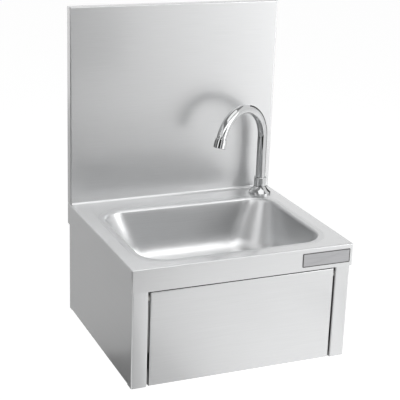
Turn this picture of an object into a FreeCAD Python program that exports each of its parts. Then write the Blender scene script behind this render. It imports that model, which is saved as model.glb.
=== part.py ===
import FreeCAD, Part
import math
import os

# Wall-hung hand wash basin in folded stainless sheet, worked by a knee panel.
# Frame: X to the right, Y towards the wall, Z up, in millimetres. The origin is the centre of the
# four wall fixings, on the wall plane. The front of the basin looks along -Y.

# Overall sizes
overall_width = 400.0
overall_depth = 350.0
overall_height = 570.0
deck_height = 210.0
overrun = 5.0
edge_share = 0.33

# Folded sheet
sheet = 1.2
bend_radius = 1.0
apron_height = 40.0
hem_height = 10.0
seam_clearance = 0.3

# Wall fixings
fixing_inset = 17.0
fixing_spacing_z = 110.0
fixing_height = 85.0
fixing_hole_radius = 4.5

# Splashback tray
splash_depth = 18.0
splash_lip = 12.0
splash_cove_radius = 5.0

# Side panels, each with its front post
rear_flange = 28.0
post_width = 27.5
post_return = 15.0
side_flange = 15.0
fold_relief = 4.0

# Bowl, pressed and welded flush in the deck
bowl_side_margin = 36.0
bowl_front_margin = 32.0
bowl_back_margin = 57.0
service_height = 92.0
bowl_sheet = 1.0
bowl_draft_deg = 8.0
bowl_corner_top = 42.0
bowl_floor_radius = 68.0
bowl_corner_growth = 24.0
bowl_floor_flat = 6.0
bowl_lip_radius = 6.0
bowl_flange = 12.0
drain_recess_radius = 42.0
drain_recess_slope = 8.0
drain_recess_depth = 3.5
drain_hole_radius = 23.0

# Waste fitting
strainer_rim = 1.5
strainer_hole_radius = 2.1
strainer_ring_shares = (0.45, 0.82)
strainer_ring_counts = (6, 12)
waste_gasket_thickness = 2.0
waste_gasket_setback = 1.0
waste_flange_radius = 36.0
waste_flange_thickness = 4.0
waste_tail_radius = 23.9
waste_tail_length = 36.0
waste_cone_height = 10.0
waste_wall = 3.0
waste_bar_half = 3.5
waste_bar_height = 9.0
waste_screw_radius = 3.0
waste_screw_head_radius = 6.0
waste_screw_head_height = 3.0
waste_screw_length = 20.0

# Knee panel and its hinge
panel_side_gap = 3.0
panel_top_gap = 2.5
panel_bottom_gap = 0.5
stop_buffer_thickness = 1.5
hinge_drop = 12.5
hinge_inset = 9.5
hinge_pin_radius = 2.5
hinge_pin_head_step = 2.5
hinge_pin_head = 1.5
hinge_running_clearance = 0.05
bush_wall = 1.1
bush_flange_step = 2.4
bush_inner_length = 2.5
clip_width = 2.0
clip_thickness = 0.8
press_clearance = 0.02
stop_lip_width = 9.5
stop_lip_height = 30.0
stop_lip_lift = 22.0
strike_pad_radius = 17.0
strike_pad_thickness = 3.0
strike_pad_edge = 0.8

# Rail and bracket that carry the valve
rail_front_offset = 50.0
rail_width = 30.0
rail_wall = 12.0
bracket_sheet = 2.0
bracket_width = 56.0
bracket_corner = 8.0
bracket_top_margin = 8.0
bracket_screw_spacing = 36.0
bracket_screw_radius = 2.5
bracket_screw_head_radius = 4.5
bracket_screw_head = 3.0
bracket_nut_wall = 1.5
bracket_nut_height = 1.0
screw_clearance = 0.25

# Knee valve
valve_from_side = 95.0
valve_height = 45.0
valve_nose_radius = 12.0
valve_nose_length = 13.0
valve_flange_step = 3.0
valve_flange_length = 6.0
valve_body_radius = 17.0
valve_tail = 17.0
valve_shoulder = 4.0
valve_locknut_wall = 4.0
valve_locknut_height = 7.0
thread_radius = 10.48
thread_length = 14.0
thread_chamfer = 1.2
inlet_bore_radius = 7.5
outlet_bore_radius = 5.5
inlet_first = 27.0
inlet_spacing = 36.0
inlet_collar_step = 2.0
inlet_collar_length = 6.0
inlet_reach = 37.0
check_valve_length = 9.0
check_valve_rib = 1.2
check_valve_hub_share = 0.33
plunger_radius = 5.0
plunger_clearance = 0.05
plunger_inner_length = 22.0
plunger_travel = 9.8
button_radius = 13.0
button_length = 18.0
button_dome_rise = 8.8
button_gap = 0.3
button_socket_depth = 10.0
button_groove_share = 0.33
button_skirt_wall = 2.5
spring_coil_radius = 8.4
spring_wire_radius = 0.8
spring_turns = 7
spring_end_pitch = 2.15
mixing_boss_radius = 9.0
mixing_boss_length = 5.0
mixing_spindle_radius = 4.0
mixing_spindle_length = 12.0
mixing_spindle_seat = 4.0
mixing_knob_radius = 12.0
mixing_knob_length = 15.0
mixing_knob_gap = 0.5
mixing_knob_grips = 8
mixing_grip_radius = 2.2
mixing_knob_edge = 1.2

# Hose from the valve to the tap
hose_radius = 5.0
hose_bore_radius = 3.25
hose_nut_wall = 1.5
hose_nut_length = 15.0
hose_nut_lip = 3.0
hose_ferrule_radius = 6.4
hose_ferrule_length = 12.0
hose_turn_before_tap = 52.0
hose_turn_before_valve = 90.0
hose_middle_left = 15.0
hose_middle_front = 1.0
hose_middle_height = 60.0
hose_bend_share = 0.45

# Tap pillar and its fixing under the deck
tap_from_side = 35.0
tap_from_splash = 34.0
tap_hole_clearance = 0.5
tap_shank_length = 48.0
tap_bore_radius = 5.0
tap_rim_radius = 21.0
tap_rim_height = 3.0
tap_waist_step = 1.0
tap_bell_radius_share = 0.44
tap_bell_height_share = 0.46
tap_bell_height = 14.0
tap_neck_step = 1.0
tap_neck_height = 25.4
tap_socket_floor = 5.0
tap_gasket_inset = 3.0
tap_gasket_thickness = 1.5
tap_washer_radius = 17.0
tap_washer_thickness = 2.0
tap_locknut_wall = 4.5
tap_locknut_height = 8.0

# Swivel spout
spout_radius = 9.0
spout_wall = 1.5
spout_arch_radius = 63.0
spout_arch_height = 111.5
spout_arch_deg = 163.0
spout_swing_deg = 27.0
spout_tip_length = 7.0
spigot_step = 1.0
spigot_wall = 3.5
spigot_clearance = 0.08
shoulder_height = 2.2
glide_ring_thickness = 1.0
o_ring_section_radius = 0.8
o_ring_groove_depth = 1.65
o_ring_shares = (0.25, 0.6)
o_ring_clearance = 0.05
collar_wall = 1.5
collar_gap = 0.6
collar_play = 0.4
collar_lip = 3.0
collar_edge = 0.8

# Aerator on the end of the spout
aerator_wall = 2.2
aerator_length = 18.0
aerator_edge = 1.0
aerator_step_share = 0.25
aerator_neck_wall = 1.4
aerator_bore_step = 0.4
insert_length = 6.0
insert_recess = 1.0
insert_hole_radius = 1.1
insert_ring_shares = (0.36, 0.7)
insert_ring_counts = (5, 10)

X_AXIS = FreeCAD.Vector(1, 0, 0)
Y_AXIS = FreeCAD.Vector(0, 1, 0)
Z_AXIS = FreeCAD.Vector(0, 0, 1)

# Places that follow from the sizes
half_width = overall_width / 2
bottom_z = -fixing_height
deck_z = bottom_z + deck_height
top_z = bottom_z + overall_height
front_y = -overall_depth
outside_radius = bend_radius + sheet
apron_z = deck_z - apron_height
body_inset = 2 * sheet + seam_clearance
side_x = half_width - body_inset
face_y = front_y + body_inset
post_x = side_x - post_width
panel_return = post_return + seam_clearance + stop_buffer_thickness + sheet
fixing_x = half_width - fixing_inset
panel_x = post_x - panel_side_gap
panel_top_z = apron_z - panel_top_gap
panel_bottom_z = bottom_z + panel_bottom_gap
hinge_y = face_y + hinge_inset
hinge_z = panel_top_z - hinge_drop
valve_x = half_width - valve_from_side
valve_z = bottom_z + valve_height
valve_flange_radius = valve_body_radius + valve_flange_step
bush_radius = hinge_pin_radius + bush_wall
bush_flange_radius = bush_radius + bush_flange_step
button_dome_radius = (button_radius ** 2 + button_dome_rise ** 2) / (2 * button_dome_rise)
rail_front_y = front_y + rail_front_offset
rail_rear_y = rail_front_y + rail_width
rail_floor_z = bottom_z + 2 * sheet
bracket_rear_y = rail_rear_y - sheet - seam_clearance
nose_tip_y = bracket_rear_y - valve_nose_length
valve_body_length = inlet_first + inlet_spacing + valve_tail
valve_end_y = bracket_rear_y + valve_body_length
outlet_end_y = valve_end_y + thread_length
strike_y = face_y + sheet + strike_pad_thickness
button_tip_y = strike_y + button_gap
button_back_y = button_tip_y + button_length
bowl_width = overall_width - 2 * bowl_side_margin
bowl_length = overall_depth - splash_depth - bowl_front_margin - bowl_back_margin
bowl_centre_y = front_y + bowl_front_margin + bowl_length / 2
bowl_depth = deck_height - service_height
bowl_floor_half = min(bowl_width, bowl_length) / 2 - bowl_depth * math.tan(math.radians(bowl_draft_deg))
bowl_floor_fillet = min(bowl_floor_radius, bowl_floor_half - bowl_floor_flat - bowl_corner_growth)
bowl_corner_floor = bowl_floor_fillet + bowl_corner_growth
waste_gasket_inner = drain_hole_radius + waste_gasket_setback
tap_x = half_width - tap_from_side
tap_y = -splash_depth - tap_from_splash
tap_hole_radius = thread_radius + tap_hole_clearance
tap_neck_radius = spout_radius + tap_neck_step
tap_gasket_radius = tap_rim_radius - tap_gasket_inset
spigot_radius = spout_radius - spigot_step
shoulder_radius = tap_neck_radius - seam_clearance
shoulder_z = tap_neck_height + glide_ring_thickness + o_ring_clearance
collar_top_height = shoulder_z + shoulder_height + collar_play + collar_lip
aerator_bore_radius = spout_radius - aerator_bore_step
spout_swing = math.radians(spout_swing_deg)
spout_arch = math.radians(spout_arch_deg)
tap_axis = FreeCAD.Vector(tap_x, tap_y, deck_z)
valve_axis = FreeCAD.Vector(valve_x, bracket_rear_y, valve_z)
bowl_axis = FreeCAD.Vector(0, bowl_centre_y, deck_z)
drain_floor_z = deck_z - bowl_depth - drain_recess_depth


def point(x, y, z):
    return FreeCAD.Vector(x, y, z)


def block(x_span, y_span, z_span):
    low = point(min(x_span), min(y_span), min(z_span))
    high = point(max(x_span), max(y_span), max(z_span))
    size = high - low
    return Part.makeBox(size.x, size.y, size.z, low)


def edges_where(shape, test):
    return [edge for edge in shape.Edges if test(edge.BoundBox)]


def near(a, b):
    return abs(a - b) < sheet / 100


def radial_of(axis):
    """A unit direction square to the axis."""
    other = X_AXIS if abs(axis.x) < abs(axis.z) + abs(axis.y) else Z_AXIS
    return (other - axis * other.dot(axis)).normalize()


def turned(profile, origin, axis):
    """Solid of revolution. Each corner is (radius, height), or (radius, height, via) where via is a
    point on the arc that leads to that corner."""
    radial = radial_of(axis)

    def place(pair):
        return origin + radial * pair[0] + axis * pair[1]

    edges = []
    for start, end in zip(profile, profile[1:] + profile[:1]):
        if len(end) == 3:
            edges.append(Part.Arc(place(start), place(end[2]), place(end)).toShape())
        else:
            edges.append(Part.LineSegment(place(start), place(end)).toShape())
    return Part.Face(Part.Wire(edges)).revolve(origin, axis, 360)


def rod(radius, start, end, origin, axis):
    return Part.makeCylinder(radius, end - start, origin + axis * start, axis)


def ring(outer, inner, start, end, origin, axis):
    return turned([(inner, start), (outer, start), (outer, end), (inner, end)], origin, axis)


def hex_prism(flats, start, end, origin, axis):
    radial = radial_of(axis)
    across = axis.cross(radial)
    corner = flats / math.sqrt(3)
    corners = []
    for index in range(7):
        turn = math.radians(60 * index)
        corners.append(origin + axis * start + (radial * math.cos(turn) + across * math.sin(turn)) * corner)
    return Part.Face(Part.makePolygon(corners)).extrude(axis * (end - start))


def chamfered_hex(flats, start, end, origin, axis):
    """Hexagon with the corners of both faces turned off."""
    corner = flats / math.sqrt(3)
    bevel = (corner - flats / 2) * math.tan(math.radians(30))
    envelope = turned([(0, start), (flats / 2, start), (corner, start + bevel), (corner, end - bevel),
                       (flats / 2, end), (0, end)], origin, axis)
    return hex_prism(flats, start, end, origin, axis).common(envelope)


def circle_of_rods(radius, count, hole_radius, start, end, origin, axis):
    radial = radial_of(axis)
    across = axis.cross(radial)
    rods = []
    for index in range(count):
        turn = 2 * math.pi * index / count
        centre = origin + (radial * math.cos(turn) + across * math.sin(turn)) * radius
        rods.append(rod(hole_radius, start, end, centre, axis))
    return rods


def rounded_path(points, radii):
    """Edges of an open path through the points, each inner corner rounded to its radius."""
    edges = []
    last = points[0]
    for before, corner, after, radius in zip(points, points[1:], points[2:], radii):
        into = (corner - before).normalize()
        out = (after - corner).normalize()
        half_turn = into.getAngle(out) / 2
        trim = radius * math.tan(half_turn)
        inward = (out - into).normalize()
        start = corner - into * trim
        end = corner + out * trim
        middle = corner + inward * (radius / math.cos(half_turn) - radius)
        edges.append(Part.LineSegment(last, start).toShape())
        edges.append(Part.Arc(start, middle, end).toShape())
        last = end
    edges.append(Part.LineSegment(last, points[-1]).toShape())
    return edges


def folded_strip(points, normal, length, thickness):
    """Folded sheet whose outer face follows the points, all folds turning the same way, extruded by
    length along normal. The sheet lies on the inner side of the folds."""
    directions = [(b - a).normalize() for a, b in zip(points, points[1:])]
    turn = directions[0].cross(directions[1]).dot(normal)
    side = normal if turn > 0 else normal * -1
    offsets = [side.cross(direction) * thickness for direction in directions]
    inner = [points[0] + offsets[0]]
    for corner, first, second in zip(points[1:], offsets, offsets[1:]):
        inner.append(corner + first + second)
    inner.append(points[-1] + offsets[-1])
    folds = len(points) - 2
    outer_edges = rounded_path(points, [bend_radius + thickness] * folds)
    inner_edges = rounded_path(inner, [bend_radius] * folds)
    caps = [Part.LineSegment(points[end], inner[end]).toShape() for end in (0, -1)]
    wire = Part.Wire(Part.__sortEdges__(outer_edges + inner_edges + caps))
    return Part.Face(wire).extrude(normal * length)


def rounded_rectangle(half_x, half_y, radius, centre):
    """Wire of a rectangle with round corners, square to Z."""
    corner = radius * math.sqrt(0.5)
    edges = []
    signs = [(1, 1), (-1, 1), (-1, -1), (1, -1)]
    ends = []
    for sign_x, sign_y in signs:
        middle = centre + point(sign_x * (half_x - radius), sign_y * (half_y - radius), 0)
        on_x = middle + point(sign_x * radius, 0, 0)
        on_y = middle + point(0, sign_y * radius, 0)
        via = middle + point(sign_x * corner, sign_y * corner, 0)
        first, second = (on_x, on_y) if sign_x == sign_y else (on_y, on_x)
        edges.append(Part.Arc(first, via, second).toShape())
        ends.append((first, second))
    for index, (first, second) in enumerate(ends):
        edges.append(Part.LineSegment(second, ends[(index + 1) % 4][0]).toShape())
    return Part.Wire(Part.__sortEdges__(edges))


def mirrored(shape):
    return shape.mirror(point(0, 0, 0), X_AXIS)


def make_splashback():
    """Tray on edge, open towards the wall, with a lip all round on the wall plane."""
    outer = block((-half_width, half_width), (-splash_depth, 0), (deck_z, top_z))

    def rounded(box):
        return near(box.YMax, -splash_depth) and box.ZMax > deck_z + sheet

    outer = outer.makeFillet(outside_radius, edges_where(outer, rounded)).fuse(splash_cove())
    cavity = block((sheet - half_width, half_width - sheet), (sheet - splash_depth, -sheet),
                   (deck_z + sheet, top_z - sheet))
    cavity = cavity.makeFillet(bend_radius, edges_where(cavity, lambda b: near(b.YMax, sheet - splash_depth)))
    mouth = block((splash_lip - half_width, half_width - splash_lip), (-splash_depth / 2, overrun),
                  (deck_z + splash_lip, top_z - splash_lip))
    return outer.cut(cavity).cut(mouth).removeSplitter()


def splash_cove():
    """Hollow round along the foot of the splashback, where its sheet runs into the deck."""
    end = half_width - outside_radius
    front = -splash_depth - splash_cove_radius
    top = deck_z + splash_cove_radius
    sag = splash_cove_radius * (1 - math.sqrt(0.5))
    foot = point(-end, front, deck_z)
    head = point(-end, -splash_depth, top)
    via = point(-end, -splash_depth - sag, deck_z + sag)
    seat = [head, point(-end, sheet - splash_depth, top), point(-end, sheet - splash_depth, deck_z), foot]
    edges = [Part.LineSegment(a, b).toShape() for a, b in zip(seat, seat[1:])]
    edges.append(Part.Arc(foot, via, head).toShape())
    return Part.Face(Part.Wire(edges)).extrude(X_AXIS * (2 * end))


def bowl_solid(skin):
    """The hollow of the bowl, grown by skin all round, with its floor edge rounded."""
    drop = bowl_depth + skin
    draft = drop * math.tan(math.radians(bowl_draft_deg))
    half_x = bowl_width / 2 + skin
    half_y = bowl_length / 2 + skin
    mouth = rounded_rectangle(half_x, half_y, bowl_corner_top + skin, bowl_axis)
    floor = rounded_rectangle(half_x - draft, half_y - draft, bowl_corner_floor, bowl_axis - Z_AXIS * drop)
    solid = Part.makeLoft([mouth, floor], True, True)
    floor_edges = edges_where(solid, lambda b: near(b.ZMax, deck_z - drop))
    return solid.makeFillet(bowl_floor_fillet + skin, floor_edges)


def bowl_plate():
    """Plate with the outline of the bowl's flange, as thick as the bowl's sheet."""
    wire = rounded_rectangle(bowl_width / 2 + bowl_flange, bowl_length / 2 + bowl_flange,
                             bowl_corner_top + bowl_flange, bowl_axis)
    return Part.Face(wire).extrude(Z_AXIS * -bowl_sheet)


def drain_dish(skin):
    """Shallow cone in the bowl's floor that takes the strainer."""
    rim = drain_recess_radius + skin
    return turned([(0, 0), (rim, 0), (rim - drain_recess_slope, -drain_recess_depth - skin),
                   (0, -drain_recess_depth - skin)], bowl_axis - Z_AXIS * bowl_depth, Z_AXIS)


def wall_edges(body, level, skin):
    """Edges at a level that lie on the bowl's wall and not on the flange's rim."""
    reach_x = bowl_width / 2 + skin + bowl_lip_radius / 2
    reach_y = bowl_length / 2 + skin + bowl_lip_radius / 2

    def on_wall(box):
        flat = near(box.ZMin, level) and near(box.ZMax, level)
        wide = max(abs(box.XMin), abs(box.XMax)) < reach_x
        deep = max(abs(box.YMin - bowl_centre_y), abs(box.YMax - bowl_centre_y)) < reach_y
        return flat and wide and deep

    return edges_where(body, on_wall)


def make_bowl():
    body = bowl_solid(bowl_sheet).fuse(bowl_plate()).fuse(drain_dish(bowl_sheet)).removeSplitter()
    body = body.cut(bowl_solid(0)).cut(drain_dish(0))
    body = body.cut(rod(drain_hole_radius, drain_floor_z - overrun - deck_z, overrun - bowl_depth,
                        bowl_axis, Z_AXIS))
    body = body.makeFillet(bowl_lip_radius, wall_edges(body, deck_z, 0))
    under = deck_z - bowl_sheet
    return body.makeFillet(bowl_lip_radius - bowl_sheet, wall_edges(body, under, bowl_sheet))


def make_deck():
    """Top sheet with folded aprons, hemmed along the front and the sides, cut out for bowl and tap."""
    outer = block((-half_width, half_width), (front_y, 0), (apron_z, deck_z))

    def rounded(box):
        front_corner = near(box.YMin, front_y) and near(box.YMax, front_y)
        side = near(box.XMin, -half_width) and near(box.XMax, -half_width)
        side = side or near(box.XMin, half_width) and near(box.XMax, half_width)
        return (front_corner or side and near(box.ZMin, deck_z)) and box.ZMax > apron_z + sheet

    outer = outer.makeFillet(outside_radius, edges_where(outer, rounded))
    inside = half_width - sheet
    upper = block((-inside, inside), (front_y + sheet, -sheet), (apron_z + hem_height, deck_z - sheet))

    def rounded_inside(box):
        front = near(box.YMin, front_y + sheet) and near(box.YMax, front_y + sheet)
        side = near(max(abs(box.XMin), abs(box.XMax)), inside) and near(box.XMin, box.XMax)
        return (front or side and near(box.ZMin, deck_z - sheet)) and box.ZMax > apron_z + hem_height + sheet

    upper = upper.makeFillet(bend_radius, edges_where(upper, rounded_inside))
    hemmed = half_width - 2 * sheet
    lower = block((-hemmed, hemmed), (front_y + 2 * sheet, -sheet),
                  (apron_z - overrun, deck_z - apron_height / 2))
    opening = bowl_plate().fuse(bowl_plate().translated(Z_AXIS * -bowl_sheet))
    opening = opening.fuse(bowl_plate().translated(Z_AXIS * bowl_sheet))
    tap_hole = rod(tap_hole_radius, -overrun, overrun, tap_axis, Z_AXIS)
    return outer.cut(upper).cut(lower).cut(opening).cut(tap_hole)


def side_fold(z_edge, z_inner, y_span):
    """Flange along the top or bottom edge of the right side panel, with its bend."""
    points = [point(side_x, y_span[0], z_inner), point(side_x, y_span[0], z_edge),
              point(side_x - side_flange, y_span[0], z_edge)]
    return folded_strip(points, Y_AXIS, y_span[1] - y_span[0], sheet)


def make_right_side_panel():
    """Side wall folded into the front post and the wall flange, with flanges top and bottom."""
    wall_top = deck_z - sheet
    points = [point(side_x - rear_flange, 0, bottom_z), point(side_x, 0, bottom_z),
              point(side_x, face_y, bottom_z), point(post_x, face_y, bottom_z),
              point(post_x, face_y + post_return, bottom_z)]
    panel = folded_strip(points, Z_AXIS, wall_top - bottom_z, sheet)
    y_span = (face_y + post_return + fold_relief, -rear_flange / 2)
    strip = 2 * outside_radius
    for edge, inner in ((wall_top, wall_top - strip), (bottom_z, bottom_z + strip)):
        panel = panel.cut(block((side_x - strip, side_x + overrun), y_span, (edge, inner)))
        panel = panel.fuse(side_fold(edge, inner, y_span))
    notch_z = apron_z - seam_clearance
    panel = panel.cut(block((0, half_width), (-sheet - seam_clearance, overrun), (notch_z, deck_z)))
    for sign in (-1, 1):
        centre = point(fixing_x, 0, sign * fixing_spacing_z / 2)
        panel = panel.cut(rod(fixing_hole_radius, -overrun, overrun, centre, Y_AXIS))
    pivot = point(0, hinge_y, hinge_z)
    pin_hole = rod(hinge_pin_radius + press_clearance, post_x - overrun, post_x + overrun, pivot, X_AXIS)
    return panel.cut(pin_hole).removeSplitter()


def make_knee_panel():
    """Tray with returns on all four sides, hinge holes near the top and stop lips near the foot."""
    outer = block((-panel_x, panel_x), (face_y, face_y + panel_return), (panel_bottom_z, panel_top_z))
    outer = outer.makeFillet(outside_radius, edges_where(outer, lambda b: near(b.YMax, face_y)))
    hollow = block((sheet - panel_x, panel_x - sheet), (face_y + sheet, face_y + panel_return + overrun),
                   (panel_bottom_z + sheet, panel_top_z - sheet))
    hollow = hollow.makeFillet(bend_radius, edges_where(hollow, lambda b: near(b.YMax, face_y + sheet)))
    panel = outer.cut(hollow)
    lip_z = panel_bottom_z + stop_lip_lift
    for sign in (-1, 1):
        edge = face_y + panel_return
        lip = block((sign * (panel_x - sheet), sign * (panel_x + stop_lip_width)), (edge - sheet, edge),
                    (lip_z, lip_z + stop_lip_height))
        panel = panel.fuse(lip)
    pivot = point(0, hinge_y, hinge_z)
    hole = rod(bush_radius + press_clearance, -half_width, half_width, pivot, X_AXIS)
    return panel.cut(hole).removeSplitter()


def make_stop_buffer(sign):
    """Rubber pad between the stop lip and the edge of the post."""
    seat = face_y + panel_return - sheet
    front = seat - stop_buffer_thickness
    x_span = (sign * (panel_x + panel_side_gap / 2), sign * (panel_x + stop_lip_width))
    lip_z = panel_bottom_z + stop_lip_lift
    pad = block(x_span, (front, seat), (lip_z, lip_z + stop_lip_height))
    round_edges = edges_where(pad, lambda b: near(b.YMax, front))
    return pad.makeFillet(stop_buffer_thickness * edge_share, round_edges)


def make_hinge_pin(sign):
    """Shouldered rivet through the post's return, reaching into the panel."""
    axis = X_AXIS * -sign
    origin = point(sign * (post_x + sheet), hinge_y, hinge_z)
    reach = sheet + panel_side_gap + sheet + bush_inner_length + clip_thickness + sheet
    head_edge = hinge_pin_head * edge_share
    head = hinge_pin_radius + hinge_pin_head_step
    profile = [(0, -hinge_pin_head), (head - head_edge, -hinge_pin_head),
               (head, head_edge - hinge_pin_head), (head, 0),
               (hinge_pin_radius, 0), (hinge_pin_radius, reach - head_edge),
               (hinge_pin_radius - head_edge, reach), (0, reach)]
    return turned(profile, origin, axis)


def make_hinge_bush(sign):
    """Flanged plastic bush pressed into the panel's return, filling the gap to the post."""
    axis = X_AXIS * -sign
    origin = point(sign * panel_x, hinge_y, hinge_z)
    bore = hinge_pin_radius + hinge_running_clearance
    flange = panel_side_gap - seam_clearance
    profile = [(bore, -flange), (bush_flange_radius, -flange), (bush_flange_radius, 0),
               (bush_radius, 0), (bush_radius, sheet + bush_inner_length), (bore, sheet + bush_inner_length)]
    return turned(profile, origin, axis)


def make_hinge_clips():
    """Star washers that hold the pins, one each side."""
    clips = []
    for sign in (-1, 1):
        start = sheet + bush_inner_length + seam_clearance
        origin = point(sign * panel_x, hinge_y, hinge_z)
        bore = hinge_pin_radius + press_clearance
        clips.append(ring(bore + clip_width, bore, start, start + clip_thickness, origin, X_AXIS * -sign))
    return Part.makeCompound(clips)


def make_strike_pad():
    origin = point(valve_x, face_y + sheet, valve_z)
    flat = strike_pad_radius - strike_pad_edge
    profile = [(0, 0), (strike_pad_radius, 0), (strike_pad_radius, strike_pad_thickness - strike_pad_edge),
               (flat, strike_pad_thickness), (0, strike_pad_thickness)]
    return turned(profile, origin, Y_AXIS)


def bracket_screw_places():
    middle_y = rail_front_y + rail_width / 2 - bracket_sheet / 2
    return [point(valve_x + sign * bracket_screw_spacing / 2, middle_y, rail_floor_z) for sign in (-1, 1)]


def make_cross_rail():
    """Channel between the side panels, standing on their bottom flanges."""
    foot_z = rail_floor_z - sheet
    length = 2 * (side_x - outside_radius - seam_clearance)
    start_x = -length / 2
    points = [point(start_x, rail_front_y, foot_z + rail_wall), point(start_x, rail_front_y, foot_z),
              point(start_x, rail_rear_y, foot_z), point(start_x, rail_rear_y, foot_z + rail_wall)]
    rail = folded_strip(points, X_AXIS, length, sheet)
    for place in bracket_screw_places():
        rail = rail.cut(rod(bracket_screw_radius + screw_clearance, -overrun, overrun, place, Z_AXIS))
    return rail


def make_valve_bracket():
    """Angle on the rail with a round hole for the nose of the valve."""
    start_x = valve_x - bracket_width / 2
    foot_y = rail_front_y + outside_radius + seam_clearance
    top = valve_z + valve_flange_radius + bracket_top_margin
    points = [point(start_x, foot_y, rail_floor_z), point(start_x, bracket_rear_y, rail_floor_z),
              point(start_x, bracket_rear_y, top)]
    bracket = folded_strip(points, X_AXIS, bracket_width, bracket_sheet)
    corners = edges_where(bracket, lambda b: near(b.ZMin, top) and near(b.XMin, b.XMax))
    bracket = bracket.makeFillet(bracket_corner, corners)
    hole = rod(valve_nose_radius + screw_clearance, -overrun, overrun, valve_axis, Y_AXIS)
    bracket = bracket.cut(hole)
    for place in bracket_screw_places():
        bracket = bracket.cut(rod(bracket_screw_radius + screw_clearance, 0, overrun, place, Z_AXIS))
    return bracket


def make_bracket_screws():
    """Pan-head screws, head on the bracket's foot, each with the sheet nut under the rail."""
    screws = []
    for place in bracket_screw_places():
        seat = bracket_sheet
        top = seat + bracket_screw_head
        edge = bracket_screw_head * edge_share
        foot = -sheet - bracket_nut_height
        profile = [(0, foot), (bracket_screw_radius, foot), (bracket_screw_radius, seat),
                   (bracket_screw_head_radius, seat), (bracket_screw_head_radius, top - edge),
                   (bracket_screw_head_radius - edge, top), (0, top)]
        screws.append(turned(profile, place, Z_AXIS))
    return Part.makeCompound(screws)


def make_bracket_nuts():
    nuts = []
    for place in bracket_screw_places():
        flats = 2 * (bracket_screw_radius + bracket_nut_wall)
        nut = hex_prism(flats, -sheet - bracket_nut_height, -sheet, place, Z_AXIS)
        nuts.append(nut.cut(rod(bracket_screw_radius + press_clearance, -overrun, 0, place, Z_AXIS)))
    return Part.makeCompound(nuts)


def inlet_origins():
    return [valve_axis + Y_AXIS * (inlet_first + index * inlet_spacing) for index in range(2)]


def inlet_branch(origin):
    """Union tail pointing down, with a collar above its thread."""
    collar = thread_radius + inlet_collar_step
    end = inlet_reach - thread_length
    start = end - inlet_collar_length
    profile = [(0, 0), (thread_radius, 0), (thread_radius, start), (collar, start), (collar, end),
               (thread_radius, end), (thread_radius, inlet_reach - thread_chamfer),
               (thread_radius - thread_chamfer, inlet_reach), (0, inlet_reach)]
    return turned(profile, origin, Z_AXIS * -1)


def mixing_axis():
    return valve_axis + Y_AXIS * (inlet_first + inlet_spacing / 2)


def make_valve_body():
    """Cast brass body: nose through the bracket, outlet to the rear, two inlets down, spindle boss."""
    shoulder = valve_body_radius - valve_shoulder
    profile = [(0, -valve_nose_length), (valve_nose_radius - thread_chamfer, -valve_nose_length),
               (valve_nose_radius, thread_chamfer - valve_nose_length), (valve_nose_radius, 0),
               (valve_flange_radius, 0), (valve_flange_radius, valve_flange_length),
               (valve_body_radius, valve_flange_length),
               (valve_body_radius, valve_body_length - valve_shoulder),
               (shoulder, valve_body_length), (thread_radius, valve_body_length),
               (thread_radius, valve_body_length + thread_length - thread_chamfer),
               (thread_radius - thread_chamfer, valve_body_length + thread_length),
               (0, valve_body_length + thread_length)]
    body = turned(profile, valve_axis, Y_AXIS)
    for origin in inlet_origins():
        body = body.fuse(inlet_branch(origin))
    boss_end = valve_body_radius + mixing_boss_length
    body = body.fuse(rod(mixing_boss_radius, 0, boss_end, mixing_axis(), X_AXIS * -1))
    spindle_bore = mixing_spindle_radius + hinge_running_clearance
    body = body.cut(rod(spindle_bore, valve_body_radius - mixing_spindle_seat, boss_end + overrun,
                        mixing_axis(), X_AXIS * -1))
    for origin in inlet_origins():
        body = body.cut(rod(inlet_bore_radius, valve_body_radius, inlet_reach + overrun, origin, Z_AXIS * -1))
    body = body.cut(rod(outlet_bore_radius, valve_body_length - valve_shoulder,
                        valve_body_length + thread_length + overrun, valve_axis, Y_AXIS))
    stem_bore = plunger_inner_length + plunger_travel + overrun - valve_nose_length
    body = body.cut(rod(plunger_radius + plunger_clearance, -valve_nose_length - overrun, stem_bore,
                        valve_axis, Y_AXIS))
    return body.removeSplitter()


def make_valve_locknut():
    start = -bracket_sheet - valve_locknut_height
    flats = 2 * (valve_nose_radius + valve_locknut_wall)
    nut = chamfered_hex(flats, start, -bracket_sheet, valve_axis, Y_AXIS)
    return nut.cut(rod(valve_nose_radius + press_clearance, start - overrun, 0, valve_axis, Y_AXIS))


def make_check_valve(origin):
    """Cartridge in an inlet: a rim, a hub and three ribs."""
    radius = inlet_bore_radius - press_clearance
    end = inlet_reach - thread_chamfer
    start = end - check_valve_length
    down = Z_AXIS * -1
    hub_radius = radius * check_valve_hub_share
    shape = ring(radius, radius - check_valve_rib, start, end, origin, down)
    shape = shape.fuse(rod(hub_radius, start, end, origin, down))
    for index in range(3):
        rib = block((0, radius - check_valve_rib / 2), (-check_valve_rib / 2, check_valve_rib / 2),
                    (-end, -start))
        rib.rotate(point(0, 0, 0), Z_AXIS, 120 * index)
        shape = shape.fuse(rib.translated(origin))
    return shape.removeSplitter()


def make_valve_plunger():
    start = button_back_y - button_socket_depth - bracket_rear_y
    end = plunger_inner_length - valve_nose_length
    tip = thread_chamfer
    profile = [(0, start), (plunger_radius, start), (plunger_radius, end - tip),
               (plunger_radius - tip, end), (0, end)]
    return turned(profile, valve_axis, Y_AXIS)


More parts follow.
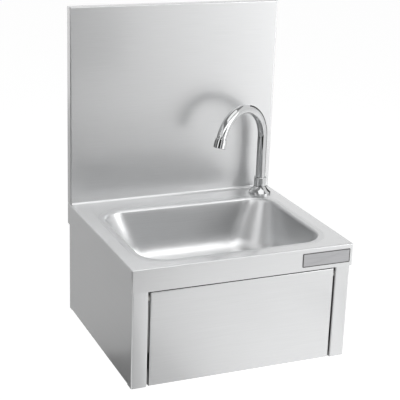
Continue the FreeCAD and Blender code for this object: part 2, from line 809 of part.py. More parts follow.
def make_push_button():
    """Domed cap on the plunger, hollow behind, with a socket for the stem."""
    tip = button_tip_y - bracket_rear_y
    back = button_back_y - bracket_rear_y
    half = math.asin(button_radius / button_dome_radius) / 2
    via = (button_dome_radius * math.sin(half), tip + button_dome_radius * (1 - math.cos(half)))
    rim = button_radius - button_skirt_wall
    hub = plunger_radius + button_skirt_wall / 2
    groove = back - button_socket_depth * button_groove_share
    socket = back - button_socket_depth
    bore = plunger_radius + press_clearance
    profile = [(0, tip), (button_radius, tip + button_dome_rise, via), (button_radius, back), (rim, back),
               (rim, groove), (hub, groove), (hub, back), (bore, back), (bore, socket), (0, socket)]
    return turned(profile, valve_axis, Y_AXIS)


def spring_start_y():
    return button_back_y - button_socket_depth * button_groove_share + spring_wire_radius + seam_clearance


def spring_end_y():
    return nose_tip_y - spring_wire_radius - seam_clearance


def spring_point(turn):
    """Centre of the wire after so many turns. The pitch is close at both ends and wide between."""
    length = spring_end_y() - spring_start_y()
    wide = 2 * (length - spring_end_pitch * spring_turns) / spring_turns
    wave = math.sin(2 * math.pi * turn / spring_turns) * spring_turns / (2 * math.pi)
    along = spring_end_pitch * turn + wide / 2 * (turn - wave)
    angle = 2 * math.pi * turn
    return point(valve_x + spring_coil_radius * math.cos(angle), spring_start_y() + along,
                 valve_z + spring_coil_radius * math.sin(angle))


def spring_tangent(turn):
    step = 1 / 4096
    return (spring_point(turn + step) - spring_point(turn - step)).normalize()


def arc_from(start, tangent, end):
    """Arc that leaves start along tangent and reaches end."""
    chord = end - start
    ahead = FreeCAD.Vector(chord).normalize()
    side = (tangent - ahead * tangent.dot(ahead)).normalize()
    rise = chord.Length / 2 * math.tan(tangent.getAngle(ahead) / 2)
    return Part.Arc(start, start + chord / 2 + side * rise, end).toShape()


def biarc(start, start_tangent, end, end_tangent):
    """Two arcs that meet smoothly and carry one tangent into the other."""
    chord = end - start
    both = start_tangent + end_tangent
    spread = 2 * (1 - start_tangent.dot(end_tangent))
    lean = chord.dot(both)
    reach = (math.sqrt(lean ** 2 + spread * chord.dot(chord)) - lean) / spread
    joint = (start + end + (start_tangent - end_tangent) * reach) / 2
    back = arc_from(end, end_tangent * -1, joint)
    return [arc_from(start, start_tangent, joint), back]


def make_return_spring():
    edges = []
    quarters = 4 * spring_turns
    for index in range(quarters):
        first = index / 4
        second = (index + 1) / 4
        edges += biarc(spring_point(first), spring_tangent(first),
                       spring_point(second), spring_tangent(second))
    path = Part.Wire(Part.__sortEdges__(edges))
    section = Part.Wire(Part.makeCircle(spring_wire_radius, spring_point(0), spring_tangent(0)))
    shell = Part.BRepOffsetAPI.MakePipeShell(path)
    shell.add(section)
    shell.build()
    shell.makeSolid()
    return shell.shape()


def print_spring_gap():
    samples = 48
    points = [spring_point(index / samples) for index in range(samples * spring_turns + 1)]
    least = min(a.distanceToPoint(b) for i, a in enumerate(points) for b in points[i + samples // 2:])
    print("least gap of the spring to itself: %.2f mm" % (least - 2 * spring_wire_radius))


def make_mixing_knob():
    """Round knob with finger grips on the mixing spindle."""
    origin = mixing_axis()
    axis = X_AXIS * -1
    start = valve_body_radius + mixing_boss_length + mixing_knob_gap
    end = start + mixing_knob_length
    edge = mixing_knob_radius - mixing_knob_edge
    knob = turned([(0, start), (mixing_knob_radius, start), (mixing_knob_radius, end - mixing_knob_edge),
                   (edge, end), (0, end)], origin, axis)
    grip_circle = mixing_knob_radius + mixing_grip_radius / 2
    grips = circle_of_rods(grip_circle, mixing_knob_grips, mixing_grip_radius, start - overrun,
                           end + overrun, origin, axis)
    knob = knob.cut(Part.makeCompound(grips))
    socket = valve_body_radius + mixing_boss_length + mixing_spindle_length
    bore = mixing_spindle_radius + press_clearance
    return knob.cut(rod(bore, start - overrun, socket + press_clearance, origin, axis))


def make_mixing_spindle():
    start = valve_body_radius - mixing_spindle_seat + mixing_knob_gap
    end = valve_body_radius + mixing_boss_length + mixing_spindle_length
    return rod(mixing_spindle_radius, start, end, mixing_axis(), X_AXIS * -1)


def hose_ends():
    tap_end = tap_axis - Z_AXIS * (tap_shank_length + hose_nut_lip)
    valve_end = point(valve_x, outlet_end_y + hose_nut_lip, valve_z)
    return valve_end, tap_end


def hose_path():
    """Route of the hose as straight runs with tangent arcs."""
    valve_end, tap_end = hose_ends()
    middle = point(tap_x - hose_middle_left, tap_y - hose_middle_front, bottom_z + hose_middle_height)
    stops = [valve_end, valve_end + Y_AXIS * hose_turn_before_valve, middle,
             tap_end - Z_AXIS * hose_turn_before_tap, tap_end]
    radii = []
    for before, corner, after in zip(stops, stops[1:], stops[2:]):
        half_turn = (corner - before).getAngle(after - corner) / 2
        run = min((corner - before).Length, (after - corner).Length)
        radii.append(hose_bend_share * run / math.tan(half_turn))
    print("hose bend radii: " + ", ".join("%.0f mm" % radius for radius in radii))
    return Part.Wire(rounded_path(stops, radii))


def make_supply_hose():
    path = hose_path()
    tubes = []
    for radius in (hose_radius, hose_bore_radius):
        section = Part.Wire(Part.makeCircle(radius, hose_ends()[0], Y_AXIS))
        shell = Part.BRepOffsetAPI.MakePipeShell(path)
        shell.add(section)
        shell.build()
        shell.makeSolid()
        tubes.append(shell.shape())
    hose = tubes[0].cut(tubes[1])
    expected = math.pi * (hose_radius ** 2 - hose_bore_radius ** 2) * path.Length
    print("hose volume over section times length: %.4f" % (hose.Volume / expected))
    return hose


def make_hose_nut(origin, axis):
    """Union nut over the thread with the hose's crimped ferrule behind it. The axis points from the
    thread's end into the hose."""
    start = hose_nut_lip - hose_nut_length
    flats = 2 * (thread_radius + hose_nut_wall)
    nut = chamfered_hex(flats, start, hose_nut_lip, origin, axis)
    nut = nut.fuse(rod(hose_ferrule_radius, 0, hose_nut_lip + hose_ferrule_length, origin, axis))
    nut = nut.cut(rod(thread_radius + press_clearance, start - overrun, 0, origin, axis))
    return nut.cut(rod(hose_radius + press_clearance, -overrun, hose_nut_lip + hose_ferrule_length + overrun,
                       origin, axis))


def make_tap_pillar():
    """Bell-shaped base with a threaded shank below and a socket for the spout above."""
    waist = tap_neck_radius + tap_waist_step
    via = (waist + (tap_rim_radius - waist) * tap_bell_radius_share,
           tap_rim_height + (tap_bell_height - tap_rim_height) * tap_bell_height_share)
    recess = tap_gasket_radius + seam_clearance
    socket = spigot_radius + spigot_clearance
    profile = [(tap_bore_radius, -tap_shank_length), (thread_radius - thread_chamfer, -tap_shank_length),
               (thread_radius, thread_chamfer - tap_shank_length), (thread_radius, tap_gasket_thickness),
               (recess, tap_gasket_thickness), (recess, 0), (tap_rim_radius, 0),
               (tap_rim_radius, tap_rim_height), (waist, tap_bell_height, via),
               (tap_neck_radius, tap_bell_height),
               (tap_neck_radius, tap_neck_height), (socket, tap_neck_height), (socket, tap_socket_floor),
               (tap_bore_radius, tap_socket_floor)]
    return turned(profile, tap_axis, Z_AXIS)


def make_swivel_collar():
    """Nut on the pillar's neck whose lip holds the spout's shoulder down."""
    lip_z = collar_top_height - collar_lip
    neck = tap_neck_radius + press_clearance
    bore = spout_radius + seam_clearance
    start = tap_bell_height + collar_gap
    outer = tap_neck_radius + collar_wall
    profile = [(neck, start), (outer - collar_edge, start), (outer, start + collar_edge),
               (outer, collar_top_height - collar_edge), (outer - collar_edge, collar_top_height),
               (bore, collar_top_height), (bore, lip_z), (neck, lip_z)]
    return turned(profile, tap_axis, Z_AXIS)


def make_glide_ring():
    return ring(shoulder_radius, spigot_radius + seam_clearance, tap_neck_height,
                tap_neck_height + glide_ring_thickness, tap_axis, Z_AXIS)


def spout_heading():
    return point(-math.cos(spout_swing), -math.sin(spout_swing), 0)


def spout_end():
    """Point and direction where the arch ends and the straight tip begins."""
    heading = spout_heading()
    centre = tap_axis + Z_AXIS * spout_arch_height + heading * spout_arch_radius
    place = centre + (heading * -math.cos(spout_arch) + Z_AXIS * math.sin(spout_arch)) * spout_arch_radius
    return place, heading * math.sin(spout_arch) + Z_AXIS * math.cos(spout_arch)


def spout_run(radius, start):
    """Solid along the spout's centre line: upright, arch and tip."""
    heading = spout_heading()
    top = tap_axis + Z_AXIS * spout_arch_height
    centre = top + heading * spout_arch_radius
    disc = Part.Face(Part.Wire(Part.makeCircle(radius, top, Z_AXIS)))
    arch = disc.revolve(centre, Z_AXIS.cross(heading), spout_arch_deg)
    place, direction = spout_end()
    upright = rod(radius, start, spout_arch_height, tap_axis, Z_AXIS)
    return upright.fuse(arch).fuse(rod(radius, 0, spout_tip_length, place, direction))


def make_spout():
    """Bent tube with a grooved spigot and a shoulder at its foot."""
    top = shoulder_z + shoulder_height
    spigot_z = tap_socket_floor + seam_clearance
    bore = spigot_radius - spigot_wall
    half = o_ring_section_radius + o_ring_clearance
    floor = spigot_radius - o_ring_groove_depth
    profile = [(bore, spigot_z), (spigot_radius, spigot_z)]
    for lift in o_ring_lifts():
        profile += [(spigot_radius, lift - half), (floor, lift - half), (floor, lift + half),
                    (spigot_radius, lift + half)]
    profile += [(spigot_radius, shoulder_z), (shoulder_radius, shoulder_z), (shoulder_radius, top),
                (spout_radius, top), (spout_radius, collar_top_height), (bore, collar_top_height)]
    foot = turned(profile, tap_axis, Z_AXIS)
    inside = spout_run(spout_radius - spout_wall, collar_top_height)
    tube = spout_run(spout_radius, collar_top_height).cut(inside)
    return foot.fuse(tube).removeSplitter()


def o_ring_lifts():
    """Heights of the two rings above the deck."""
    return [tap_socket_floor + (tap_neck_height - tap_socket_floor) * share for share in o_ring_shares]


def make_o_rings():
    radius = spigot_radius - o_ring_groove_depth + o_ring_clearance + o_ring_section_radius
    rings = []
    for lift in o_ring_lifts():
        rings.append(Part.makeTorus(radius, o_ring_section_radius, tap_axis + Z_AXIS * lift, Z_AXIS))
    return Part.makeCompound(rings)


def make_aerator_housing():
    """Chromed sleeve on the spout's tip with a stepped mouth."""
    place, direction = spout_end()
    inner = spout_radius + press_clearance
    neck = spout_radius + aerator_neck_wall
    outer = spout_radius + aerator_wall
    step_at = aerator_length * aerator_step_share
    profile = [(inner, 0), (neck - aerator_edge, 0), (neck, aerator_edge), (neck, step_at), (outer, step_at),
               (outer, aerator_length - aerator_edge), (outer - aerator_edge, aerator_length),
               (aerator_bore_radius, aerator_length), (aerator_bore_radius, spout_tip_length),
               (inner, spout_tip_length)]
    return turned(profile, place, direction)


def make_aerator_insert():
    """Perforated jet plate, set back in the mouth of the sleeve."""
    place, direction = spout_end()
    end = aerator_length - insert_recess
    start = end - insert_length
    insert = rod(aerator_bore_radius - press_clearance, start, end, place, direction)
    for share, count in zip(insert_ring_shares, insert_ring_counts):
        holes = circle_of_rods(aerator_bore_radius * share, count, insert_hole_radius, start - overrun,
                               end + overrun, place, direction)
        insert = insert.cut(Part.makeCompound(holes))
    return insert


def make_tap_gasket():
    return ring(tap_gasket_radius - press_clearance, thread_radius + screw_clearance, 0,
                tap_gasket_thickness - press_clearance, tap_axis, Z_AXIS)


def make_tap_washer():
    start = -sheet - tap_washer_thickness
    return ring(tap_washer_radius, thread_radius + screw_clearance, start, -sheet, tap_axis, Z_AXIS)


def make_tap_locknut():
    end = -sheet - tap_washer_thickness
    start = end - tap_locknut_height
    flats = 2 * (thread_radius + tap_locknut_wall)
    nut = chamfered_hex(flats, start, end, tap_axis, Z_AXIS)
    return nut.cut(rod(thread_radius + press_clearance, start - overrun, end + overrun, tap_axis, Z_AXIS))


def drain_axis():
    return point(0, bowl_centre_y, drain_floor_z)


def make_upper_gasket():
    return ring(drain_recess_radius - drain_recess_slope - seam_clearance, waste_gasket_inner, 0,
                waste_gasket_thickness / 2, drain_axis(), Z_AXIS)


def make_waste_strainer():
    """Perforated plate in the bowl's recess, dished to its centre screw."""
    seat = waste_gasket_thickness / 2
    rim = drain_recess_radius - drain_recess_slope - seam_clearance
    dish = waste_gasket_inner - strainer_rim
    drop = strainer_rim
    top = seat + strainer_rim
    profile = [(0, seat - drop), (dish - drop, seat - drop), (dish, seat), (rim, seat),
               (rim, seat + strainer_rim / 2), (rim - strainer_rim / 2, top), (dish, top),
               (dish - drop, top - drop), (0, top - drop)]
    plate = turned(profile, drain_axis(), Z_AXIS)
    for share, count in zip(strainer_ring_shares, strainer_ring_counts):
        holes = circle_of_rods(dish * share, count, strainer_hole_radius, -overrun, overrun,
                               drain_axis(), Z_AXIS)
        plate = plate.cut(Part.makeCompound(holes))
    return plate.cut(rod(waste_screw_radius + screw_clearance, -overrun, overrun, drain_axis(), Z_AXIS))


def make_lower_gasket():
    return ring(waste_flange_radius, waste_gasket_inner, -bowl_sheet - waste_gasket_thickness, -bowl_sheet,
                drain_axis(), Z_AXIS)


def make_waste_body():
    """Moulded tail under the bowl, with a bar across it for the centre screw."""
    top = -bowl_sheet - waste_gasket_thickness
    flange = top - waste_flange_thickness
    cone = flange - waste_cone_height
    end = cone - waste_tail_length
    bore = waste_tail_radius - waste_wall
    profile = [(bore, end), (waste_tail_radius - thread_chamfer, end),
               (waste_tail_radius, end + thread_chamfer), (waste_tail_radius, cone),
               (waste_flange_radius - waste_wall, flange), (waste_flange_radius, flange),
               (waste_flange_radius, top), (waste_gasket_inner, top), (bore, cone)]
    body = turned(profile, drain_axis(), Z_AXIS)
    bar = block((-waste_gasket_inner, waste_gasket_inner), (-waste_bar_half, waste_bar_half),
                (cone - waste_bar_height, cone)).translated(drain_axis())
    hub = rod(2 * waste_screw_radius, cone - waste_bar_height, cone, drain_axis(), Z_AXIS)
    fill = rod(bore + waste_wall / 2, end, cone, drain_axis(), Z_AXIS)
    body = body.fuse(bar.fuse(hub).common(fill))
    hole = rod(waste_screw_radius + press_clearance, cone - waste_bar_height - overrun, cone + overrun,
               drain_axis(), Z_AXIS)
    return body.cut(hole).removeSplitter()


def make_waste_screw():
    seat = waste_gasket_thickness / 2
    edge = waste_screw_head_height * edge_share
    top = seat + waste_screw_head_height
    profile = [(0, seat - waste_screw_length), (waste_screw_radius, seat - waste_screw_length),
               (waste_screw_radius, seat), (waste_screw_head_radius, seat),
               (waste_screw_head_radius, top - edge),
               (waste_screw_head_radius - edge, top), (0, top)]
    return turned(profile, drain_axis(), Z_AXIS)


def make_parts():
    right_panel = make_right_side_panel()
    first_inlet, second_inlet = inlet_origins()
    valve_end, tap_end = hose_ends()
    return {
        "deck": make_deck(),
        "bowl": make_bowl(),
        "splashback": make_splashback(),
        "right_side_panel": right_panel,
        "left_side_panel": mirrored(right_panel),
        "knee_panel": make_knee_panel(),
        "left_stop_buffer": make_stop_buffer(-1),
        "right_stop_buffer": make_stop_buffer(1),
        "left_hinge_pin": make_hinge_pin(-1),
        "right_hinge_pin": make_hinge_pin(1),
        "left_hinge_bush": make_hinge_bush(-1),
        "right_hinge_bush": make_hinge_bush(1),
        "hinge_clips": make_hinge_clips(),
        "strike_pad": make_strike_pad(),
        "cross_rail": make_cross_rail(),
        "valve_bracket": make_valve_bracket(),
        "bracket_screws": make_bracket_screws(),
        "bracket_nuts": make_bracket_nuts(),
        "valve_body": make_valve_body(),
        "valve_locknut": make_valve_locknut(),
        "hot_check_valve": make_check_valve(first_inlet),
        "cold_check_valve": make_check_valve(second_inlet),
        "valve_plunger": make_valve_plunger(),
        "push_button": make_push_button(),
        "return_spring": make_return_spring(),
        "mixing_spindle": make_mixing_spindle(),
        "mixing_knob": make_mixing_knob(),
        "supply_hose": make_supply_hose(),
        "valve_hose_nut": make_hose_nut(point(valve_x, outlet_end_y, valve_z), Y_AXIS),
        "tap_hose_nut": make_hose_nut(tap_axis - Z_AXIS * tap_shank_length, Z_AXIS * -1),
        "tap_pillar": make_tap_pillar(),
        "tap_gasket": make_tap_gasket(),
        "tap_washer": make_tap_washer(),
        "tap_locknut": make_tap_locknut(),
        "swivel_collar": make_swivel_collar(),
        "glide_ring": make_glide_ring(),
        "spout": make_spout(),
        "spout_o_rings": make_o_rings(),
        "aerator_housing": make_aerator_housing(),
        "aerator_insert": make_aerator_insert(),
        "upper_waste_gasket": make_upper_gasket(),
        "waste_strainer": make_waste_strainer(),
        "waste_screw": make_waste_screw(),
        "lower_waste_gasket": make_lower_gasket(),
        "waste_body": make_waste_body(),
    }


os.makedirs("parts", exist_ok=True)
print_spring_gap()
for name, shape in make_parts().items():
    shape.exportStep("parts/%s.step" % name)
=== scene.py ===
import math
from typing import NamedTuple

import bmesh
import bpy
from mathutils import Euler, Matrix, Vector


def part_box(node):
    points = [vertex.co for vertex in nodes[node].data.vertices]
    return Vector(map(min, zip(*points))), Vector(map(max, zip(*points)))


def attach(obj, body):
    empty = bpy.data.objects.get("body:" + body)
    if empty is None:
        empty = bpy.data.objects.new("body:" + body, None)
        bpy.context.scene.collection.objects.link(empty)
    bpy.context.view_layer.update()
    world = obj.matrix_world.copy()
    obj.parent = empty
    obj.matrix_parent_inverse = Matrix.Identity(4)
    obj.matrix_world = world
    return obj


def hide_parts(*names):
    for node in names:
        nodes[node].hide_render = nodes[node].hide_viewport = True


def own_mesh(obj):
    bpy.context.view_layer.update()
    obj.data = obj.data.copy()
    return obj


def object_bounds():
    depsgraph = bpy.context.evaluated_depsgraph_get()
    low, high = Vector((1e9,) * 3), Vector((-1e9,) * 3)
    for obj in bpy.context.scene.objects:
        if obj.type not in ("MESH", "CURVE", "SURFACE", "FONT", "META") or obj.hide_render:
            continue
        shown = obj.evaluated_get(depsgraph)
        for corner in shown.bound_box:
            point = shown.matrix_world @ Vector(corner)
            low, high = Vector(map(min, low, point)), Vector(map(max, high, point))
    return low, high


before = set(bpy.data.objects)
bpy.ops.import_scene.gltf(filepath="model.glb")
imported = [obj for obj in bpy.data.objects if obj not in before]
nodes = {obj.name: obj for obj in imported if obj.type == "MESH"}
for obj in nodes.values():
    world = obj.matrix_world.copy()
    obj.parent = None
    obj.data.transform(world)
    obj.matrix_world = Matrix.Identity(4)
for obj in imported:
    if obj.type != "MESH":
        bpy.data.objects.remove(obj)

bl_info = {
    "name": "Knee-operated hand basin",
    "version": (1, 0, 0),
    "blender": (4, 5, 0),
    "location": "View3D > Sidebar > Basin",
    "description": "Finishes, small parts and a studio for a wall-hung steel hand basin",
    "category": "Object",
}

# Lowest and highest corners of the frame's nodes in metres, and of some only one edge
cad_low, cad_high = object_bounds()
deck_low, deck_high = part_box("deck")
tail_low, tail_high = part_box("waste_body")
screw_low, screw_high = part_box("waste_screw")
locknut_low, locknut_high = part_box("tap_locknut")
hot_low, hot_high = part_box("hot_check_valve")
cold_low, cold_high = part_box("cold_check_valve")
panel_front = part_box("knee_panel")[0].y
valve_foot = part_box("valve_body")[0].z
hose_nut_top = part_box("tap_hose_nut")[1].z

# Nodes that share a finish
FRONT_SHEETS = ("deck", "cross_rail", "valve_bracket")
SIDE_SHEETS = ("left_side_panel", "right_side_panel")
CHROMED = ("tap_pillar", "swivel_collar", "spout", "aerator_housing")
CAST = ("valve_body", "valve_locknut", "tap_locknut")
PLATED = (
    "left_hinge_pin", "right_hinge_pin", "hinge_clips", "bracket_screws", "bracket_nuts", "valve_plunger",
    "mixing_spindle", "valve_hose_nut", "tap_hose_nut", "tap_washer", "return_spring",
)
RUBBER_PIECES = (
    "left_stop_buffer", "right_stop_buffer", "strike_pad", "tap_gasket", "spout_o_rings",
    "upper_waste_gasket", "lower_waste_gasket",
)
NYLON_PIECES = ("left_hinge_bush", "right_hinge_bush", "glide_ring", "push_button")
WHITE_PIECES = ("waste_body", "hot_check_valve", "cold_check_valve")

# Route of the hose from the valve's outlet to the tap in metres, by the points that its solid follows
HOSE_ROUTE = (
    (0.105, -0.1745, -0.0400), (0.105, -0.1110, -0.0400), (0.1185, -0.0720, -0.0370),
    (0.150, -0.0530, -0.0180), (0.165, -0.0520, 0.0200), (0.165, -0.0520, 0.0740),
)

# Axes that a sheet's brush lines can follow
ALONG_X = 0
ALONG_Y = 1

# Range that holds most of a noise's values
NOISE_LOW = 0.3
NOISE_HIGH = 0.7

# Brush lines: octaves of their noise, and how far they lighten and darken the steel
LINE_DETAIL = 3
LINE_CONTRAST = 0.035

# Colour sockets of Blender's Mix node, which share their names with others
MIX_FIRST = 6
MIX_SECOND = 7
MIX_RESULT = 2

# Scale at which a diagonal wave texture repeats once a unit
ONE_WAVE = math.pi / 5

# Corners that are closer than this are one, and edges that bend more than these angles stay sharp
MERGE_GAP = 0.000002
CREASE_DEG = 32
SMALL_PIECE_CREASE_DEG = 30
COIL_CREASE_DEG = 40


class Tones(NamedTuple):
    """Darkest and lightest colour of a finish."""
    dark: tuple
    light: tuple


class Moulding(NamedTuple):
    """Plastic or rubber: its colours, its mean roughness and its grain in repeats per metre."""
    name: str
    tones: Tones
    roughness: float
    grain: float


class Lamp(NamedTuple):
    """Rectangular soft lamp: where it stands, what it looks at, its two sides and its power in watts."""
    name: str
    place: tuple
    target: tuple
    size: tuple
    power: float


class Card(NamedTuple):
    """Standing or hanging board: its middle, what it faces, its two sides, its grey and its own glow."""
    name: str
    place: tuple
    target: tuple
    size: tuple
    grey: float
    glow: float = 0.0


class FloorCard(NamedTuple):
    """Board that lies face up: its middle, its height over the floor, its two sides, its grey and glow."""
    name: str
    middle: tuple
    lift: float
    size: tuple
    grey: float
    glow: float = 0.0


# Metals other than the sheet and the chrome
BRASS = Tones(dark=(0.50, 0.36, 0.15), light=(0.74, 0.57, 0.27))
PLATING = Tones(dark=(0.52, 0.52, 0.53), light=(0.63, 0.63, 0.64))
BRAID_WIRE = Tones(dark=(0.10, 0.10, 0.10), light=(0.66, 0.66, 0.67))
# Badge rim: near-black painted shade, standing in for the shadow gap and dark edge reflection round the
# plate
BADGE_RIM_SHADE = Tones(dark=(0.10, 0.10, 0.10), light=(0.15, 0.15, 0.15))
BADGE_FACE = Tones(dark=(0.40, 0.40, 0.41), light=(0.47, 0.47, 0.48))

# Plastics and rubber
AERATOR_GREY = Moulding(
    "aerator_grey", Tones(dark=(0.30, 0.30, 0.31), light=(0.38, 0.38, 0.39)), roughness=0.40, grain=900)
BLACK_RUBBER = Moulding(
    "black_rubber", Tones(dark=(0.018, 0.018, 0.018), light=(0.035, 0.035, 0.035)),
    roughness=0.68, grain=1200)
NYLON = Moulding(
    "nylon", Tones(dark=(0.78, 0.77, 0.73), light=(0.86, 0.85, 0.81)), roughness=0.42, grain=700)
WHITE_MOULDING = Moulding(
    "white_moulding", Tones(dark=(0.80, 0.80, 0.79), light=(0.87, 0.87, 0.86)), roughness=0.38, grain=600)
KNOB_BLACK = Moulding(
    "knob_black", Tones(dark=(0.03, 0.03, 0.03), light=(0.06, 0.06, 0.06)), roughness=0.50, grain=900)

# Lamps of the studio
LAMPS = (
    Lamp("top_lamp", place=(0.3, -0.7, 2.2), target=(0, -0.2, 0.1), size=(1.6, 1.6), power=10),
    Lamp("front_lamp", place=(0.6, -2.6, 1.70), target=(0, -0.2, 0.0), size=(3.2, 1.0), power=16),
    Lamp("right_lamp", place=(2.0, -1.8, 0.6), target=(0, -0.2, 0.1), size=(1.2, 1.8), power=12),
)

# Boards that only the mirror images in steel and chrome show
CARDS = (
    Card("front_card", place=(-0.92, -2.10, -0.15), target=(-0.36, -0.18, -0.15), size=(2.6, 1.2),
         grey=0.08),
    Card("splash_card", place=(0.28, -2.10, 0.22), target=(-0.15, 0.0, 0.45), size=(0.55, 0.45), grey=0.10),
    Card("deck_flag", place=(0.50, -2.5, 0.98), target=(0, -0.2, 0.1), size=(1.9, 0.6), grey=0.25),
    Card("left_flag", place=(-2.3, -0.3, -0.22), target=(0.1, -0.1, -0.22), size=(3.6, 1.05), grey=0.06),
    Card("ceiling_card", place=(0, -0.6, 2.6), target=(0, -0.6, 0), size=(4.0, 4.0), grey=0.60),
    Card("spout_flag", place=(-2.4, -0.2, 0.85), target=(0.1, -0.1, 0.3), size=(1.0, 0.5), grey=0.05),
    Card("rear_flag", place=(-1.85, 1.3, 1.20), target=(0.1, -0.2, 0.1), size=(2.2, 1.6), grey=0.03),
    Card("streak_card", place=(-2.05, -1.15, 0.95), target=(0.1, -0.1, 0.1), size=(0.7, 0.7),
         grey=0.80, glow=1.0),
    Card("edge_flag", place=(2.3, 0.9, 0.4), target=(0.1, -0.1, 0.2), size=(1.2, 2.0), grey=0.10),
    Card("bowl_flag", place=(-1.50, -2.0, 0.50), target=(0.1, -0.1, 0.2), size=(2.0, 1.0), grey=0.04),
)
FLOOR_CARDS = (
    FloorCard("rear_floor_card", middle=(-1.3, 2.3), lift=0.005, size=(2.6, 3.4), grey=0.80, glow=0.08),
    # foot_shadow_card is a painted shadow: a dark board on the floor near the basin, which the side panel
    # mirrors as shade under the basin
    FloorCard("foot_shadow_card", middle=(-0.60, 0.65), lift=0.010, size=(0.9, 0.7), grey=0.10),
    FloorCard("panel_card", middle=(-0.10, -1.40), lift=0.005, size=(0.9, 1.0), grey=0.50),
    FloorCard("post_card", middle=(1.25, -1.60), lift=0.005, size=(0.4, 1.0), grey=0.80),
)


class SheetFinish(bpy.types.PropertyGroup):
    """Colour and grain of the folded steel."""
    tone: bpy.props.FloatVectorProperty(
        name="Steel tone", description="Colour of the brushed sheet",
        default=(0.66, 0.665, 0.67), size=3, min=0, max=1, subtype="COLOR")
    roughness: bpy.props.FloatProperty(
        name="Roughness", description="Mean roughness of the brushed sheet",
        default=0.40, min=0, max=1, subtype="FACTOR")
    grain_length: bpy.props.FloatProperty(
        name="Grain length", description="Length of a brush line", default=0.06, unit="LENGTH")
    grain_width: bpy.props.FloatProperty(
        name="Grain width", description="Width of a brush line", default=0.0005, unit="LENGTH")
    gloss: bpy.props.FloatProperty(
        name="Gloss", description="Share of the sharper shine over the brush lines",
        default=0.8, min=0, max=1, subtype="FACTOR")
    gloss_roughness: bpy.props.FloatProperty(
        name="Gloss roughness", description="Roughness of the sharper shine",
        default=0.14, min=0, max=1, subtype="FACTOR")
    gloss_ior: bpy.props.FloatProperty(
        name="Gloss IOR", description="Index of refraction of the sharper shine", default=2.0, min=1, max=4)
    # Painted shade: the knee panel's folds, from fold_depth behind its face, are darkened to stand in for
    # the dark gap round the panel
    fold_depth: bpy.props.FloatProperty(
        name="Fold depth", description="Depth behind the knee panel's face at which its dull folds begin",
        default=0.0004, unit="LENGTH")
    painted_fold_shade: bpy.props.FloatProperty(
        name="Fold shade", description="Brightness of the knee panel's folds against its face",
        default=0.12, min=0, max=1, subtype="FACTOR")


class BowlFinish(bpy.types.PropertyGroup):
    """Colour of the pressed bowl, and where it gives way to the deck's finish."""
    tone: bpy.props.FloatVectorProperty(
        name="Bowl tone", description="Colour of the pressed bowl",
        default=(0.69, 0.695, 0.70), size=3, min=0, max=1, subtype="COLOR")
    roughness: bpy.props.FloatProperty(
        name="Bowl roughness", description="Mean roughness of the pressed bowl",
        default=0.32, min=0, max=1, subtype="FACTOR")
    lip_depth: bpy.props.FloatProperty(
        name="Lip depth", description="Depth below the deck from which the bowl has its own finish",
        default=0.006, unit="LENGTH")
    flange_depth: bpy.props.FloatProperty(
        name="Flange depth", description="Depth below the deck down to which the bowl is finished like it",
        default=0.0005, unit="LENGTH")


class TapFinish(bpy.types.PropertyGroup):
    """Colour and polish of the chromed tap."""
    clear_tone: bpy.props.FloatVectorProperty(
        name="Clear chrome", description="Colour of the chrome where it is clear",
        default=(0.54, 0.546, 0.55), size=3, min=0, max=1, subtype="COLOR")
    film_tone: bpy.props.FloatVectorProperty(
        name="Filmed chrome", description="Colour of the chrome under a faint film",
        default=(0.60, 0.606, 0.61), size=3, min=0, max=1, subtype="COLOR")
    clear_roughness: bpy.props.FloatProperty(
        name="Clear roughness", description="Roughness of the clear chrome",
        default=0.035, min=0, max=1, subtype="FACTOR")
    film_roughness: bpy.props.FloatProperty(
        name="Film roughness", description="Roughness of the chrome under the film",
        default=0.075, min=0, max=1, subtype="FACTOR")


class BadgeSizes(bpy.types.PropertyGroup):
    """Bare plate on the front apron."""
    width: bpy.props.FloatProperty(
        name="Width", description="Width of the plate", default=0.090, unit="LENGTH")
    height: bpy.props.FloatProperty(
        name="Height", description="Height of the plate", default=0.0245, unit="LENGTH")
    thickness: bpy.props.FloatProperty(
        name="Thickness", description="Thickness of the plate", default=0.0008, unit="LENGTH")
    corner: bpy.props.FloatProperty(
        name="Corner", description="Radius of the plate's corners", default=0.0015, unit="LENGTH")
    rim: bpy.props.FloatProperty(
        name="Rim", description="Width of the raised rim", default=0.0012, unit="LENGTH")
    margin: bpy.props.FloatProperty(
        name="Margin", description="Distance from the deck's right-hand edge", default=0.006, unit="LENGTH")
    drop: bpy.props.FloatProperty(
        name="Drop", description="Distance below the top of the deck", default=0.0085, unit="LENGTH")


class HoseSizes(bpy.types.PropertyGroup):
    """Braided hose from the valve to the tap."""
    radius: bpy.props.FloatProperty(
        name="Radius", description="Outer radius of the hose", default=0.005, unit="LENGTH")
    length: bpy.props.FloatProperty(
        name="Length", description="Length from nut to nut", default=0.236, unit="LENGTH")
    strands: bpy.props.IntProperty(
        name="Strands", description="Braid strands round the hose", default=20, min=4)


